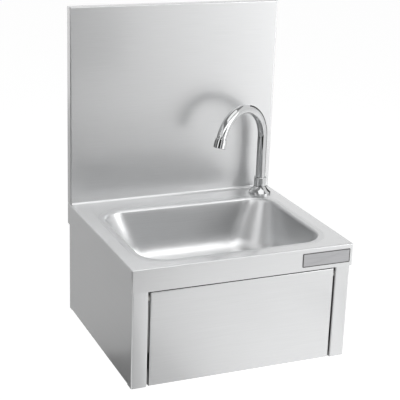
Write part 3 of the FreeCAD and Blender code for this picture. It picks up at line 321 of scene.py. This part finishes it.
class ThreadSizes(bpy.types.PropertyGroup):
    """Pipe threads on the waste, the inlets and the tap's shank."""
    rise: bpy.props.FloatProperty(
        name="Rise", description="Height of a thread's crest over the plain tube",
        default=0.0004, unit="LENGTH")
    waste_radius: bpy.props.FloatProperty(
        name="Waste radius", description="Radius of the waste tail", default=0.0239, unit="LENGTH")
    waste_pitch: bpy.props.FloatProperty(
        name="Waste pitch", description="Pitch of the waste thread", default=0.002309, unit="LENGTH")
    waste_start: bpy.props.FloatProperty(
        name="Waste start", description="Start of the thread over the foot of the waste",
        default=0.0015, unit="LENGTH")
    waste_end: bpy.props.FloatProperty(
        name="Waste end", description="End of the thread over the foot of the waste",
        default=0.034, unit="LENGTH")
    pipe_radius: bpy.props.FloatProperty(
        name="Pipe radius", description="Radius of the half-inch thread", default=0.01048, unit="LENGTH")
    pipe_pitch: bpy.props.FloatProperty(
        name="Pipe pitch", description="Pitch of the half-inch thread", default=0.001814, unit="LENGTH")
    inlet_start: bpy.props.FloatProperty(
        name="Inlet start", description="Start of an inlet's thread over the foot of the valve",
        default=0.0008, unit="LENGTH")
    inlet_end: bpy.props.FloatProperty(
        name="Inlet end", description="End of an inlet's thread over the foot of the valve",
        default=0.0135, unit="LENGTH")


class ScrewSizes(bpy.types.PropertyGroup):
    """Cross slot of the waste screw."""
    slot_width: bpy.props.FloatProperty(
        name="Slot width", description="Width of each arm of the cross", default=0.0014, unit="LENGTH")
    slot_depth: bpy.props.FloatProperty(
        name="Slot depth", description="Depth of the cross below the top of the screw",
        default=0.0014, unit="LENGTH")


class StudioSizes(bpy.types.PropertyGroup):
    """Floor, surrounding light and camera."""
    floor_drop: bpy.props.FloatProperty(
        name="Floor drop", description="Height of the basin's foot over the floor",
        default=0.66, unit="LENGTH")
    floor_size: bpy.props.FloatProperty(
        name="Floor size", description="Side of the floor", default=60.0, unit="LENGTH")
    floor_grey: bpy.props.FloatProperty(
        name="Floor grey", description="Brightness of the floor's colour",
        default=0.8, min=0, max=1, subtype="FACTOR")
    floor_glow: bpy.props.FloatProperty(
        name="Floor glow", description="Glow that whitens the floor to the eye and in reflections",
        default=0.62, min=0, max=1, subtype="FACTOR")
    ambient: bpy.props.FloatProperty(
        name="Ambient", description="Strength of the surrounding light", default=0.45, min=0, max=2)
    lens: bpy.props.FloatProperty(
        name="Lens", description="Focal length", default=103.34, unit="CAMERA")
    sensor: bpy.props.FloatProperty(
        name="Sensor", description="Width of the camera's sensor", default=36.0, unit="CAMERA")
    eye: bpy.props.FloatVectorProperty(
        name="Eye", description="Place of the camera",
        default=(-0.7700, -1.9236, 0.8115), size=3, subtype="TRANSLATION")
    turn: bpy.props.FloatVectorProperty(
        name="Turn", description="Tilt, lean and heading of the camera",
        default=(math.radians(71.3076), math.radians(-1.8918), math.radians(-22.8003)),
        size=3, subtype="EULER")


def new_material(name):
    """Fresh node material and its shader."""
    material = bpy.data.materials.new(name)
    material.use_nodes = True
    return material, material.node_tree.nodes["Principled BSDF"]


def new_metal(name):
    """Fresh material and shader of bare metal."""
    material, shader = new_material(name)
    shader.inputs["Metallic"].default_value = 1.0
    return material, shader


def add_node(owner, kind, **settings):
    """New shader node in a material or a world."""
    node = owner.node_tree.nodes.new(kind)
    for key, value in settings.items():
        setattr(node, key, value)
    return node


def join(owner, source, target):
    """Link two sockets of a material or a world."""
    owner.node_tree.links.new(source, target)


def combined(owner, operation, first, second):
    """Two numbers brought together by one operation, such as their sum."""
    node = add_node(owner, "ShaderNodeMath", operation=operation)
    join(owner, first, node.inputs[0])
    join(owner, second, node.inputs[1])
    return node.outputs["Value"]


def spread(owner, factor, low, high, start=NOISE_LOW, end=NOISE_HIGH):
    """Factor from start to end turned into a number from low to high."""
    node = add_node(owner, "ShaderNodeMapRange")
    node.inputs["From Min"].default_value = start
    node.inputs["From Max"].default_value = end
    node.inputs["To Min"].default_value = low
    node.inputs["To Max"].default_value = high
    join(owner, factor, node.inputs["Value"])
    return node.outputs["Result"]


def blended(material, factor, tones, start=NOISE_LOW, end=NOISE_HIGH):
    """Factor from start to end turned into a colour from the dark tone to the light one."""
    ramp = add_node(material, "ShaderNodeValToRGB")
    first, last = ramp.color_ramp.elements
    first.position = start
    last.position = end
    first.color = (*tones.dark, 1)
    last.color = (*tones.light, 1)
    join(material, factor, ramp.inputs["Fac"])
    return ramp.outputs["Color"]


def object_noise(material, scale, detail, distortion=0.0):
    """Noise on the piece's own coordinates, with scale repeats per metre along each axis."""
    place = add_node(material, "ShaderNodeTexCoord")
    mapping = add_node(material, "ShaderNodeMapping")
    mapping.inputs["Scale"].default_value = scale
    noise = add_node(material, "ShaderNodeTexNoise")
    noise.inputs["Scale"].default_value = 1.0
    noise.inputs["Detail"].default_value = detail
    noise.inputs["Distortion"].default_value = distortion
    join(material, place.outputs["Object"], mapping.inputs["Vector"])
    join(material, mapping.outputs["Vector"], noise.inputs["Vector"])
    return noise.outputs["Fac"]


def place_along(material, axis):
    """Where a point of the piece lies along X, Y or Z, in metres."""
    place = add_node(material, "ShaderNodeTexCoord")
    split = add_node(material, "ShaderNodeSeparateXYZ")
    join(material, place.outputs["Object"], split.inputs["Vector"])
    return split.outputs[axis]


def paint(material, shader, factor, tones, smoothest, roughest):
    """Colour and roughness that follow the same factor."""
    join(material, blended(material, factor, tones), shader.inputs["Base Color"])
    join(material, spread(material, factor, smoothest, roughest), shader.inputs["Roughness"])


def relief(material, shader, height, distance, strength):
    """Bumps that follow a height and stand up to a distance in metres."""
    bump = add_node(material, "ShaderNodeBump")
    bump.inputs["Distance"].default_value = distance
    bump.inputs["Strength"].default_value = strength
    join(material, height, bump.inputs["Height"])
    join(material, bump.outputs["Normal"], shader.inputs["Normal"])


def shaded(tone, factor):
    """Tone made darker or lighter."""
    return tuple(min(1.0, channel * factor) for channel in tone)


def brushed_tone(material, lines, tone):
    """Colour that the brush lines darken and lighten a little."""
    tones = Tones(shaded(tone, 1 - LINE_CONTRAST), shaded(tone, 1 + LINE_CONTRAST))
    return blended(material, lines, tones)


def sheet_steel(name, grain_axis, finish):
    """Brushed stainless sheet with its lines along one axis of the basin."""
    line_change = 0.03
    cloud_change = 0.025
    cloud_scale = (5, 5, 5)
    line_scale = [1 / finish.grain_width] * 3
    line_scale[grain_axis] = 1 / finish.grain_length
    material, shader = new_metal(name)
    lines = object_noise(material, line_scale, LINE_DETAIL)
    clouds = object_noise(material, cloud_scale, detail=2, distortion=0.4)
    join(material, brushed_tone(material, lines, finish.tone), shader.inputs["Base Color"])
    brushed = spread(material, lines, finish.roughness - line_change, finish.roughness + line_change)
    wiped = spread(material, clouds, -cloud_change, cloud_change)
    join(material, combined(material, "ADD", brushed, wiped), shader.inputs["Roughness"])
    shader.inputs["Coat Weight"].default_value = finish.gloss
    shader.inputs["Coat Roughness"].default_value = finish.gloss_roughness
    shader.inputs["Coat IOR"].default_value = finish.gloss_ior
    relief(material, shader, lines, distance=0.00002, strength=0.2)
    return material


def panel_steel(finish):
    """Brushed face of the knee panel, with painted shade that darkens its folds behind the face."""
    material = sheet_steel("brushed_panel", ALONG_X, finish)
    shader = material.node_tree.nodes["Principled BSDF"]
    face_colour = shader.inputs["Base Color"].links[0].from_socket
    # Painted shade: the colour falls to the fold shade on the folds behind the panel's face
    fold_start = panel_front + finish.fold_depth
    fold_end = fold_start + finish.fold_depth
    fold_shading = spread(material, place_along(material, "Y"), 1, finish.painted_fold_shade, fold_start, fold_end)
    shaded_folds = add_node(material, "ShaderNodeVectorMath", operation="SCALE")
    join(material, face_colour, shaded_folds.inputs["Vector"])
    join(material, fold_shading, shaded_folds.inputs["Scale"])
    join(material, shaded_folds.outputs["Vector"], shader.inputs["Base Color"])
    return material


def bowl_steel(bowl, sheet):
    """Pressed bowl: smoother than the sheet inside, brushed like the deck on its flange."""
    cloud_change = 0.02
    cloud_scale = (9, 9, 9)
    line_scale = (1 / sheet.grain_length, 1 / sheet.grain_width, 1 / sheet.grain_width)
    inside_top = deck_high.z - bowl.lip_depth
    flange_foot = deck_high.z - bowl.flange_depth
    material, shader = new_metal("pressed_bowl")
    lines = object_noise(material, line_scale, LINE_DETAIL)
    clouds = object_noise(material, cloud_scale, detail=2, distortion=0.5)
    flange = spread(material, place_along(material, "Z"), 0, 1, start=inside_top, end=flange_foot)
    tone = add_node(material, "ShaderNodeMix", data_type="RGBA")
    join(material, flange, tone.inputs["Factor"])
    join(material, brushed_tone(material, lines, bowl.tone), tone.inputs[MIX_FIRST])
    join(material, brushed_tone(material, lines, sheet.tone), tone.inputs[MIX_SECOND])
    join(material, tone.outputs[MIX_RESULT], shader.inputs["Base Color"])
    level = spread(material, flange, bowl.roughness, sheet.roughness, start=0, end=1)
    wiped = spread(material, clouds, -cloud_change, cloud_change)
    join(material, combined(material, "ADD", level, wiped), shader.inputs["Roughness"])
    relief(material, shader, lines, distance=0.000012, strength=0.3)
    return material


def bright_chrome(finish):
    """Polished chrome, partly under a faint film."""
    material, shader = new_metal("bright_chrome")
    film = object_noise(material, scale=(40, 40, 40), detail=4)
    tones = Tones(dark=finish.clear_tone, light=finish.film_tone)
    paint(material, shader, film, tones, finish.clear_roughness, finish.film_roughness)
    return material


def cast_brass():
    """Sand-cast brass with patches of tarnish."""
    material, shader = new_metal("cast_brass")
    sand = object_noise(material, scale=(900, 900, 900), detail=4)
    tarnish = object_noise(material, scale=(60, 60, 60), detail=3, distortion=0.6)
    join(material, blended(material, tarnish, BRASS), shader.inputs["Base Color"])
    join(material, spread(material, sand, low=0.30, high=0.48), shader.inputs["Roughness"])
    relief(material, shader, sand, distance=0.0001, strength=0.35)
    return material


def plated_steel():
    """Plated steel with fine marks of its turning."""
    material, shader = new_metal("plated_steel")
    marks = object_noise(material, scale=(1500, 1500, 1500), detail=2)
    paint(material, shader, marks, PLATING, smoothest=0.18, roughest=0.30)
    relief(material, shader, marks, distance=0.00002, strength=0.3)
    return material


def badge_metal(name, tones):
    """Satin metal of the bare plate, with its lines along X."""
    material, shader = new_metal(name)
    lines = object_noise(material, scale=(20, 2500, 2500), detail=2)
    paint(material, shader, lines, tones, smoothest=0.30, roughest=0.40)
    return material


def moulded(moulding):
    """Plastic or rubber with a fine grain."""
    change = 0.06
    material, shader = new_material(moulding.name)
    skin = object_noise(material, scale=[moulding.grain] * 3, detail=3)
    paint(material, shader, skin, moulding.tones, moulding.roughness - change, moulding.roughness + change)
    relief(material, shader, skin, distance=0.00005, strength=0.3)
    return material


def wire_braid(sizes):
    """Woven wire: two sets of strands crossing round the hose, on the hose's own UV map."""
    repeats_along = sizes.strands * sizes.length / (2 * math.pi * sizes.radius)
    material, shader = new_metal("wire_braid")
    place = add_node(material, "ShaderNodeTexCoord")
    heights = []
    for hand in (1, -1):
        mapping = add_node(material, "ShaderNodeMapping")
        mapping.inputs["Scale"].default_value = (repeats_along, sizes.strands * hand, 1)
        wave = add_node(material, "ShaderNodeTexWave", wave_type="BANDS", bands_direction="DIAGONAL")
        wave.inputs["Scale"].default_value = ONE_WAVE
        join(material, place.outputs["UV"], mapping.inputs["Vector"])
        join(material, mapping.outputs["Vector"], wave.inputs["Vector"])
        heights.append(wave.outputs["Fac"])
    weave = combined(material, "MAXIMUM", *heights)
    join(material, blended(material, weave, BRAID_WIRE, start=0.2, end=0.9), shader.inputs["Base Color"])
    join(material, spread(material, weave, low=0.5, high=0.26, start=0, end=1), shader.inputs["Roughness"])
    relief(material, shader, weave, distance=0.0003, strength=0.8)
    return material


def finish_of(name):
    """Material that a CAD node wears."""
    return nodes[name].material_slots[0].material


def dress(names, material):
    """Give CAD nodes a finish, smooth within the crease angle."""
    for name in names:
        node = nodes[name]
        if node.material_slots:
            node.material_slots[0].material = material
        else:
            node.data.materials.append(material)
        node.data.shade_smooth()
        weld = node.modifiers.new("weld", "WELD")
        weld.merge_threshold = MERGE_GAP
        creases = node.modifiers.new("creases", "EDGE_SPLIT")
        creases.split_angle = math.radians(CREASE_DEG)


def deselect():
    """Leave edit mode and select nothing."""
    if bpy.context.object and bpy.context.object.mode != "OBJECT":
        bpy.ops.object.mode_set(mode="OBJECT")
    bpy.ops.object.select_all(action="DESELECT")


def make_active(piece):
    """Select one piece alone."""
    deselect()
    piece.select_set(True)
    bpy.context.view_layer.objects.active = piece


def select_faces(piece, test):
    """In edit mode, select only the faces whose normal passes the test."""
    mesh = bmesh.from_edit_mesh(piece.data)
    for face in mesh.faces:
        face.select_set(False)
    for face in mesh.faces:
        if test(face.normal):
            face.select_set(True)
    mesh.select_flush_mode()
    bmesh.update_edit_mesh(piece.data)


def select_edges(piece, test):
    """In edit mode, select only the edges whose two ends pass the test."""
    mesh = bmesh.from_edit_mesh(piece.data)
    for elements in (mesh.faces, mesh.edges, mesh.verts):
        for element in elements:
            element.select_set(False)
    for edge in mesh.edges:
        if test(edge.verts[0].co, edge.verts[1].co):
            edge.select_set(True)
    bmesh.update_edit_mesh(piece.data)


def apply_all(piece):
    """Apply every modifier of a piece."""
    make_active(piece)
    for modifier in list(piece.modifiers):
        bpy.ops.object.modifier_apply(modifier=modifier.name)


def smooth(crease_deg):
    """Shade the active piece smooth within a crease angle."""
    bpy.ops.object.shade_smooth_by_angle(angle=math.radians(crease_deg))


def add_block(low, high):
    """Block between two corners, to shape further."""
    deselect()
    bpy.ops.mesh.primitive_cube_add(size=1, location=(low + high) / 2, scale=high - low)
    return bpy.context.object


def add_plate(name, low, high, corner, rim, finishes):
    """Thin plate facing -Y with round corners and a raised rim: the rim's finish first, then the face's."""
    thickness = high.y - low.y
    rim_slope = rim / 4
    face_sink = thickness / 3
    edge_bevel = thickness / 4
    near = 1e-6
    front_cosine = 0.9
    plate = add_block(low, high)
    plate.name = plate.data.name = name
    for finish in finishes:
        plate.data.materials.append(finish)
    bpy.ops.object.transform_apply(location=True, rotation=True, scale=True)
    bpy.ops.object.mode_set(mode="EDIT")
    bpy.ops.mesh.select_mode(type="EDGE")
    select_edges(plate, lambda a, b: abs(a.x - b.x) < near and abs(a.z - b.z) < near)
    bpy.ops.mesh.bevel(offset=corner, segments=5, affect="EDGES")
    bpy.ops.mesh.select_mode(type="FACE")
    select_faces(plate, lambda normal: normal.y < -front_cosine)
    bpy.ops.mesh.inset(thickness=rim)
    bpy.ops.mesh.inset(thickness=rim_slope)
    bpy.ops.transform.translate(value=(0, face_sink, 0))
    plate.active_material_index = 1
    bpy.ops.object.material_slot_assign()
    bpy.ops.object.mode_set(mode="OBJECT")
    edge = plate.modifiers.new("edge", "BEVEL")
    edge.width = edge_bevel
    edge.segments = 2
    edge.limit_method = "ANGLE"
    apply_all(plate)
    return plate


def add_thread(name, centre, radius, pitch, rise, low, high):
    """Helical ridge round an upright tube, closed at both ends."""
    root_share = 0.8
    crest_share = 0.25
    turns = int((high - low) / pitch) - 1
    deselect()
    bpy.ops.mesh.primitive_plane_add(size=1, location=(radius, 0, 0), rotation=(math.pi / 2, 0, 0))
    ridge = bpy.context.object
    ridge.name = ridge.data.name = name
    ridge.scale = (2 * rise, root_share * pitch, 1)
    bpy.ops.object.transform_apply(location=True, rotation=True, scale=True)
    bpy.ops.object.mode_set(mode="EDIT")
    bpy.ops.mesh.select_mode(type="EDGE")
    select_edges(ridge, lambda a, b: min(a.x, b.x) > radius)
    bpy.ops.transform.resize(value=(1, 1, crest_share))
    bpy.ops.mesh.select_all(action="SELECT")
    bpy.ops.mesh.delete(type="ONLY_FACE")
    bpy.ops.object.mode_set(mode="OBJECT")
    winding = ridge.modifiers.new("winding", "SCREW")
    winding.axis = "Z"
    winding.screw_offset = pitch
    winding.iterations = turns
    winding.steps = winding.render_steps = 32
    apply_all(ridge)
    bpy.ops.object.mode_set(mode="EDIT")
    bpy.ops.mesh.select_all(action="SELECT")
    bpy.ops.mesh.remove_doubles(threshold=MERGE_GAP)
    bpy.ops.mesh.fill_holes(sides=0)
    bpy.ops.mesh.normals_make_consistent(inside=False)
    bpy.ops.transform.translate(value=(centre.x, centre.y, low + pitch))
    bpy.ops.object.mode_set(mode="OBJECT")
    smooth(SMALL_PIECE_CREASE_DEG)
    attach(ridge, "basin")
    return ridge


def merged_copy(name, node_name):
    """New piece with the same mesh as a CAD node, its loose triangles joined."""
    piece = bpy.data.objects.new(name, nodes[node_name].data.copy())
    bpy.context.scene.collection.objects.link(piece)
    make_active(piece)
    bpy.ops.object.mode_set(mode="EDIT")
    bpy.ops.mesh.select_all(action="SELECT")
    bpy.ops.mesh.remove_doubles(threshold=MERGE_GAP)
    bpy.ops.object.mode_set(mode="OBJECT")
    return piece


def cut_slot(piece, low, high):
    """Cut the block between two corners out of a piece."""
    cutter = add_block(low, high)
    slot = piece.modifiers.new("slot", "BOOLEAN")
    slot.object = cutter
    slot.operation = "DIFFERENCE"
    slot.solver = "EXACT"
    apply_all(piece)
    bpy.data.objects.remove(cutter)


class BASIN_OT_sheets(bpy.types.Operator):
    """Brushed finish on the folded and pressed steel"""
    bl_idname = "basin.sheets"
    bl_label = "Sheet steel"

    def execute(self, context):
        finish = context.scene.basin_sheet
        dress(FRONT_SHEETS, sheet_steel("brushed_across", ALONG_X, finish))
        dress(SIDE_SHEETS, sheet_steel("brushed_front_to_back", ALONG_Y, finish))
        dress(("knee_panel",), panel_steel(finish))
        dress(("splashback",), sheet_steel("brushed_splashback", ALONG_X, finish))
        dress(("bowl",), bowl_steel(context.scene.basin_bowl, finish))
        dress(("waste_strainer",), sheet_steel("strainer_steel", ALONG_X, finish))
        return {"FINISHED"}


class BASIN_OT_tap(bpy.types.Operator):
    """Chrome on the tap and its spout"""
    bl_idname = "basin.tap"
    bl_label = "Tap"

    def execute(self, context):
        dress(CHROMED, bright_chrome(context.scene.basin_tap))
        dress(("aerator_insert",), moulded(AERATOR_GREY))
        return {"FINISHED"}


class BASIN_OT_valve(bpy.types.Operator):
    """Finishes of the valve, the hinge, the waste and the fasteners"""
    bl_idname = "basin.valve"
    bl_label = "Valve and hinge"

    def execute(self, context):
        dress(CAST, cast_brass())
        dress(PLATED, plated_steel())
        dress(RUBBER_PIECES, moulded(BLACK_RUBBER))
        dress(NYLON_PIECES, moulded(NYLON))
        dress(WHITE_PIECES, moulded(WHITE_MOULDING))
        dress(("mixing_knob",), moulded(KNOB_BLACK))
        dress(("waste_screw",), finish_of("tap_washer"))
        return {"FINISHED"}


class BASIN_OT_badge(bpy.types.Operator):
    """Bare plate on the front apron"""
    bl_idname = "basin.badge"
    bl_label = "Badge plate"

    def execute(self, context):
        sizes = context.scene.basin_badge
        right = deck_high.x - sizes.margin
        top = deck_high.z - sizes.drop
        low = Vector((right - sizes.width, deck_low.y - sizes.thickness, top - sizes.height))
        high = Vector((right, deck_low.y, top))
        # The rim's near-black material is painted shade round the plate's border
        finishes = (badge_metal("badge_rim_painted_shade", BADGE_RIM_SHADE), badge_metal("badge_face", BADGE_FACE))
        plate = add_plate("badge_plate", low, high, sizes.corner, sizes.rim, finishes)
        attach(plate, "basin")
        return {"FINISHED"}


class BASIN_OT_spring(bpy.types.Operator):
    """Return spring as one merged, smooth piece in place of the CAD node's"""
    bl_idname = "basin.spring"
    bl_label = "Return spring"

    def execute(self, context):
        coil = merged_copy("return_coil", "return_spring")
        smooth(COIL_CREASE_DEG)
        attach(coil, "basin")
        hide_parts("return_spring")
        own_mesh(coil)
        return {"FINISHED"}


class BASIN_OT_hose(bpy.types.Operator):
    """Braided hose from the valve to the tap"""
    bl_idname = "basin.hose"
    bl_label = "Supply hose"

    def execute(self, context):
        sizes = context.scene.basin_hose
        line = bpy.data.curves.new("braided_hose", "CURVE")
        line.dimensions = "3D"
        spline = line.splines.new("NURBS")
        spline.points.add(len(HOSE_ROUTE) - 1)
        for spot, place in zip(spline.points, HOSE_ROUTE):
            spot.co = (*place, 1)
        spline.order_u = 3
        spline.use_endpoint_u = True
        spline.resolution_u = 20
        line.bevel_depth = sizes.radius
        line.bevel_resolution = 7
        line.use_fill_caps = True
        line.materials.append(wire_braid(sizes))
        hose = bpy.data.objects.new("braided_hose", line)
        context.scene.collection.objects.link(hose)
        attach(hose, "basin")
        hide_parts("supply_hose")
        return {"FINISHED"}


class BASIN_OT_threads(bpy.types.Operator):
    """Pipe threads on the waste tail, the inlets and the tap's shank"""
    bl_idname = "basin.threads"
    bl_label = "Threads"

    def execute(self, context):
        sizes = context.scene.basin_threads
        middle = (tail_low + tail_high) / 2
        waste = add_thread("waste_thread", middle, sizes.waste_radius, sizes.waste_pitch, sizes.rise,
                           tail_low.z + sizes.waste_start, tail_low.z + sizes.waste_end)
        waste.data.materials.append(finish_of("waste_body"))
        for name, low, high in (("hot_thread", hot_low, hot_high), ("cold_thread", cold_low, cold_high)):
            middle = (low + high) / 2
            inlet = add_thread(name, middle, sizes.pipe_radius, sizes.pipe_pitch, sizes.rise,
                               valve_foot + sizes.inlet_start, valve_foot + sizes.inlet_end)
            inlet.data.materials.append(finish_of("valve_body"))
        middle = (locknut_low + locknut_high) / 2
        shank = add_thread("shank_thread", middle, sizes.pipe_radius, sizes.pipe_pitch, sizes.rise,
                           hose_nut_top, locknut_low.z)
        shank.data.materials.append(finish_of("tap_pillar"))
        return {"FINISHED"}


class BASIN_OT_screw(bpy.types.Operator):
    """Waste screw with a cross slot"""
    bl_idname = "basin.screw"
    bl_label = "Waste screw"

    def execute(self, context):
        sizes = context.scene.basin_screw
        screw = merged_copy("slotted_waste_screw", "waste_screw")
        middle = (screw_low + screw_high) / 2
        reach = screw_high.x - screw_low.x
        half = sizes.slot_width / 2
        floor = screw_high.z - sizes.slot_depth
        top = screw_high.z + reach
        for across, along in ((reach, half), (half, reach)):
            cut_slot(screw, Vector((middle.x - across, middle.y - along, floor)),
                     Vector((middle.x + across, middle.y + along, top)))
        make_active(screw)
        smooth(SMALL_PIECE_CREASE_DEG)
        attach(screw, "basin")
        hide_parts("waste_screw")
        return {"FINISHED"}


def seen_rays(owner):
    """One where a ray comes from the camera, a mirror or through glass."""
    path = add_node(owner, "ShaderNodeLightPath")
    seen = combined(owner, "MAXIMUM", path.outputs["Is Camera Ray"], path.outputs["Is Glossy Ray"])
    return combined(owner, "MAXIMUM", seen, path.outputs["Is Transmission Ray"])


def white_world(ambient):
    """White to the eye and in reflections, a plain grey light otherwise."""
    world = bpy.data.worlds.new("studio")
    bpy.context.scene.world = world
    world.use_nodes = True
    background = world.node_tree.nodes["Background"]
    background.inputs["Color"].default_value = (1, 1, 1, 1)
    strength = spread(world, seen_rays(world), ambient, 1.0, start=0, end=1)
    join(world, strength, background.inputs["Strength"])


def matt(name, grey, roughness):
    """Grey material with no shine that can glow white."""
    material, shader = new_material(name)
    shader.inputs["Base Color"].default_value = (grey, grey, grey, 1)
    shader.inputs["Roughness"].default_value = roughness
    shader.inputs["Specular IOR Level"].default_value = 0.0
    shader.inputs["Emission Color"].default_value = (1, 1, 1, 1)
    return material, shader


def white_floor(sizes, floor_z):
    """Pale floor below the basin, nearly white to the eye, with soft shadows."""
    deselect()
    bpy.ops.mesh.primitive_plane_add(size=sizes.floor_size, location=(0, 0, floor_z))
    floor = bpy.context.object
    floor.name = "floor"
    material, shader = matt("pale_floor", sizes.floor_grey, roughness=0.9)
    glow = spread(material, seen_rays(material), 0, sizes.floor_glow, start=0, end=1)
    join(material, glow, shader.inputs["Emission Strength"])
    floor.data.materials.append(material)


def add_lamp(lamp):
    """Rectangular soft lamp that looks at its target."""
    data = bpy.data.lights.new(lamp.name, "AREA")
    data.shape = "RECTANGLE"
    data.size, data.size_y = lamp.size
    data.energy = lamp.power
    light = bpy.data.objects.new(lamp.name, data)
    light.location = lamp.place
    light.rotation_euler = (Vector(lamp.target) - Vector(lamp.place)).to_track_quat("-Z", "Y").to_euler()
    bpy.context.scene.collection.objects.link(light)


def add_card(card):
    """Studio board that shows in reflections and not to the camera."""
    deselect()
    bpy.ops.mesh.primitive_plane_add(size=1, location=card.place)
    board = bpy.context.object
    board.name = card.name
    board.rotation_euler = (Vector(card.target) - Vector(card.place)).to_track_quat("Z", "Y").to_euler()
    board.scale = (*card.size, 1)
    material, shader = matt(card.name, card.grey, roughness=1.0)
    shader.inputs["Emission Strength"].default_value = card.glow
    board.data.materials.append(material)
    board.visible_camera = False
    board.visible_diffuse = False
    board.visible_shadow = False


def laid_card(card, floor_z):
    """Floor card turned into a card that faces straight up."""
    place = (*card.middle, floor_z + card.lift)
    above = (*card.middle, floor_z + card.lift + 1)
    return Card(card.name, place, above, card.size, card.grey, card.glow)


def photo_camera(sizes):
    """Camera at the photograph's angle."""
    data = bpy.data.cameras.new("photo_camera")
    data.lens = sizes.lens
    data.sensor_width = sizes.sensor
    camera = bpy.data.objects.new("photo_camera", data)
    camera.matrix_world = Matrix.Translation(sizes.eye) @ Euler(sizes.turn).to_matrix().to_4x4()
    bpy.context.scene.collection.objects.link(camera)
    bpy.context.scene.camera = camera


class BASIN_OT_stage(bpy.types.Operator):
    """White floor, soft lamps, boards to mirror and the camera"""
    bl_idname = "basin.stage"
    bl_label = "Stage"

    def execute(self, context):
        sizes = context.scene.basin_studio
        floor_z = cad_low.z - sizes.floor_drop
        bpy.context.scene.view_settings.view_transform = "Standard"
        white_world(sizes.ambient)
        white_floor(sizes, floor_z)
        for lamp in LAMPS:
            add_lamp(lamp)
        for card in CARDS:
            add_card(card)
        for card in FLOOR_CARDS:
            add_card(laid_card(card, floor_z))
        photo_camera(sizes)
        return {"FINISHED"}


class BASIN_PT_panel(bpy.types.Panel):
    """Lists the steps that dress the basin"""
    bl_idname = "BASIN_PT_panel"
    bl_label = "Hand basin"
    bl_space_type = "VIEW_3D"
    bl_region_type = "UI"
    bl_category = "Basin"

    def draw(self, context):
        for operator in OPERATORS:
            self.layout.operator(operator.bl_idname)


OPERATORS = (
    BASIN_OT_sheets, BASIN_OT_tap, BASIN_OT_valve, BASIN_OT_badge, BASIN_OT_spring, BASIN_OT_hose,
    BASIN_OT_threads, BASIN_OT_screw, BASIN_OT_stage,
)
GROUPS = {
    "basin_sheet": SheetFinish,
    "basin_bowl": BowlFinish,
    "basin_tap": TapFinish,
    "basin_badge": BadgeSizes,
    "basin_hose": HoseSizes,
    "basin_threads": ThreadSizes,
    "basin_screw": ScrewSizes,
    "basin_studio": StudioSizes,
}


def register():
    """Make the sizes, the steps and the panel known to Blender."""
    for group in GROUPS.values():
        bpy.utils.register_class(group)
    for operator in OPERATORS:
        bpy.utils.register_class(operator)
    bpy.utils.register_class(BASIN_PT_panel)
    for name, group in GROUPS.items():
        setattr(bpy.types.Scene, name, bpy.props.PointerProperty(type=group))


def unregister():
    """Take back what register made known."""
    for name in GROUPS:
        delattr(bpy.types.Scene, name)
    bpy.utils.unregister_class(BASIN_PT_panel)
    for operator in reversed(OPERATORS):
        bpy.utils.unregister_class(operator)
    for group in reversed(list(GROUPS.values())):
        bpy.utils.unregister_class(group)


def main():
    """Dress the basin and set it in its studio."""
    register()
    bpy.ops.basin.sheets()
    bpy.ops.basin.tap()
    bpy.ops.basin.valve()
    bpy.ops.basin.badge()
    bpy.ops.basin.spring()
    bpy.ops.basin.hose()
    bpy.ops.basin.threads()
    bpy.ops.basin.screw()
    bpy.ops.basin.stage()


if __name__ == "__main__":
    main()
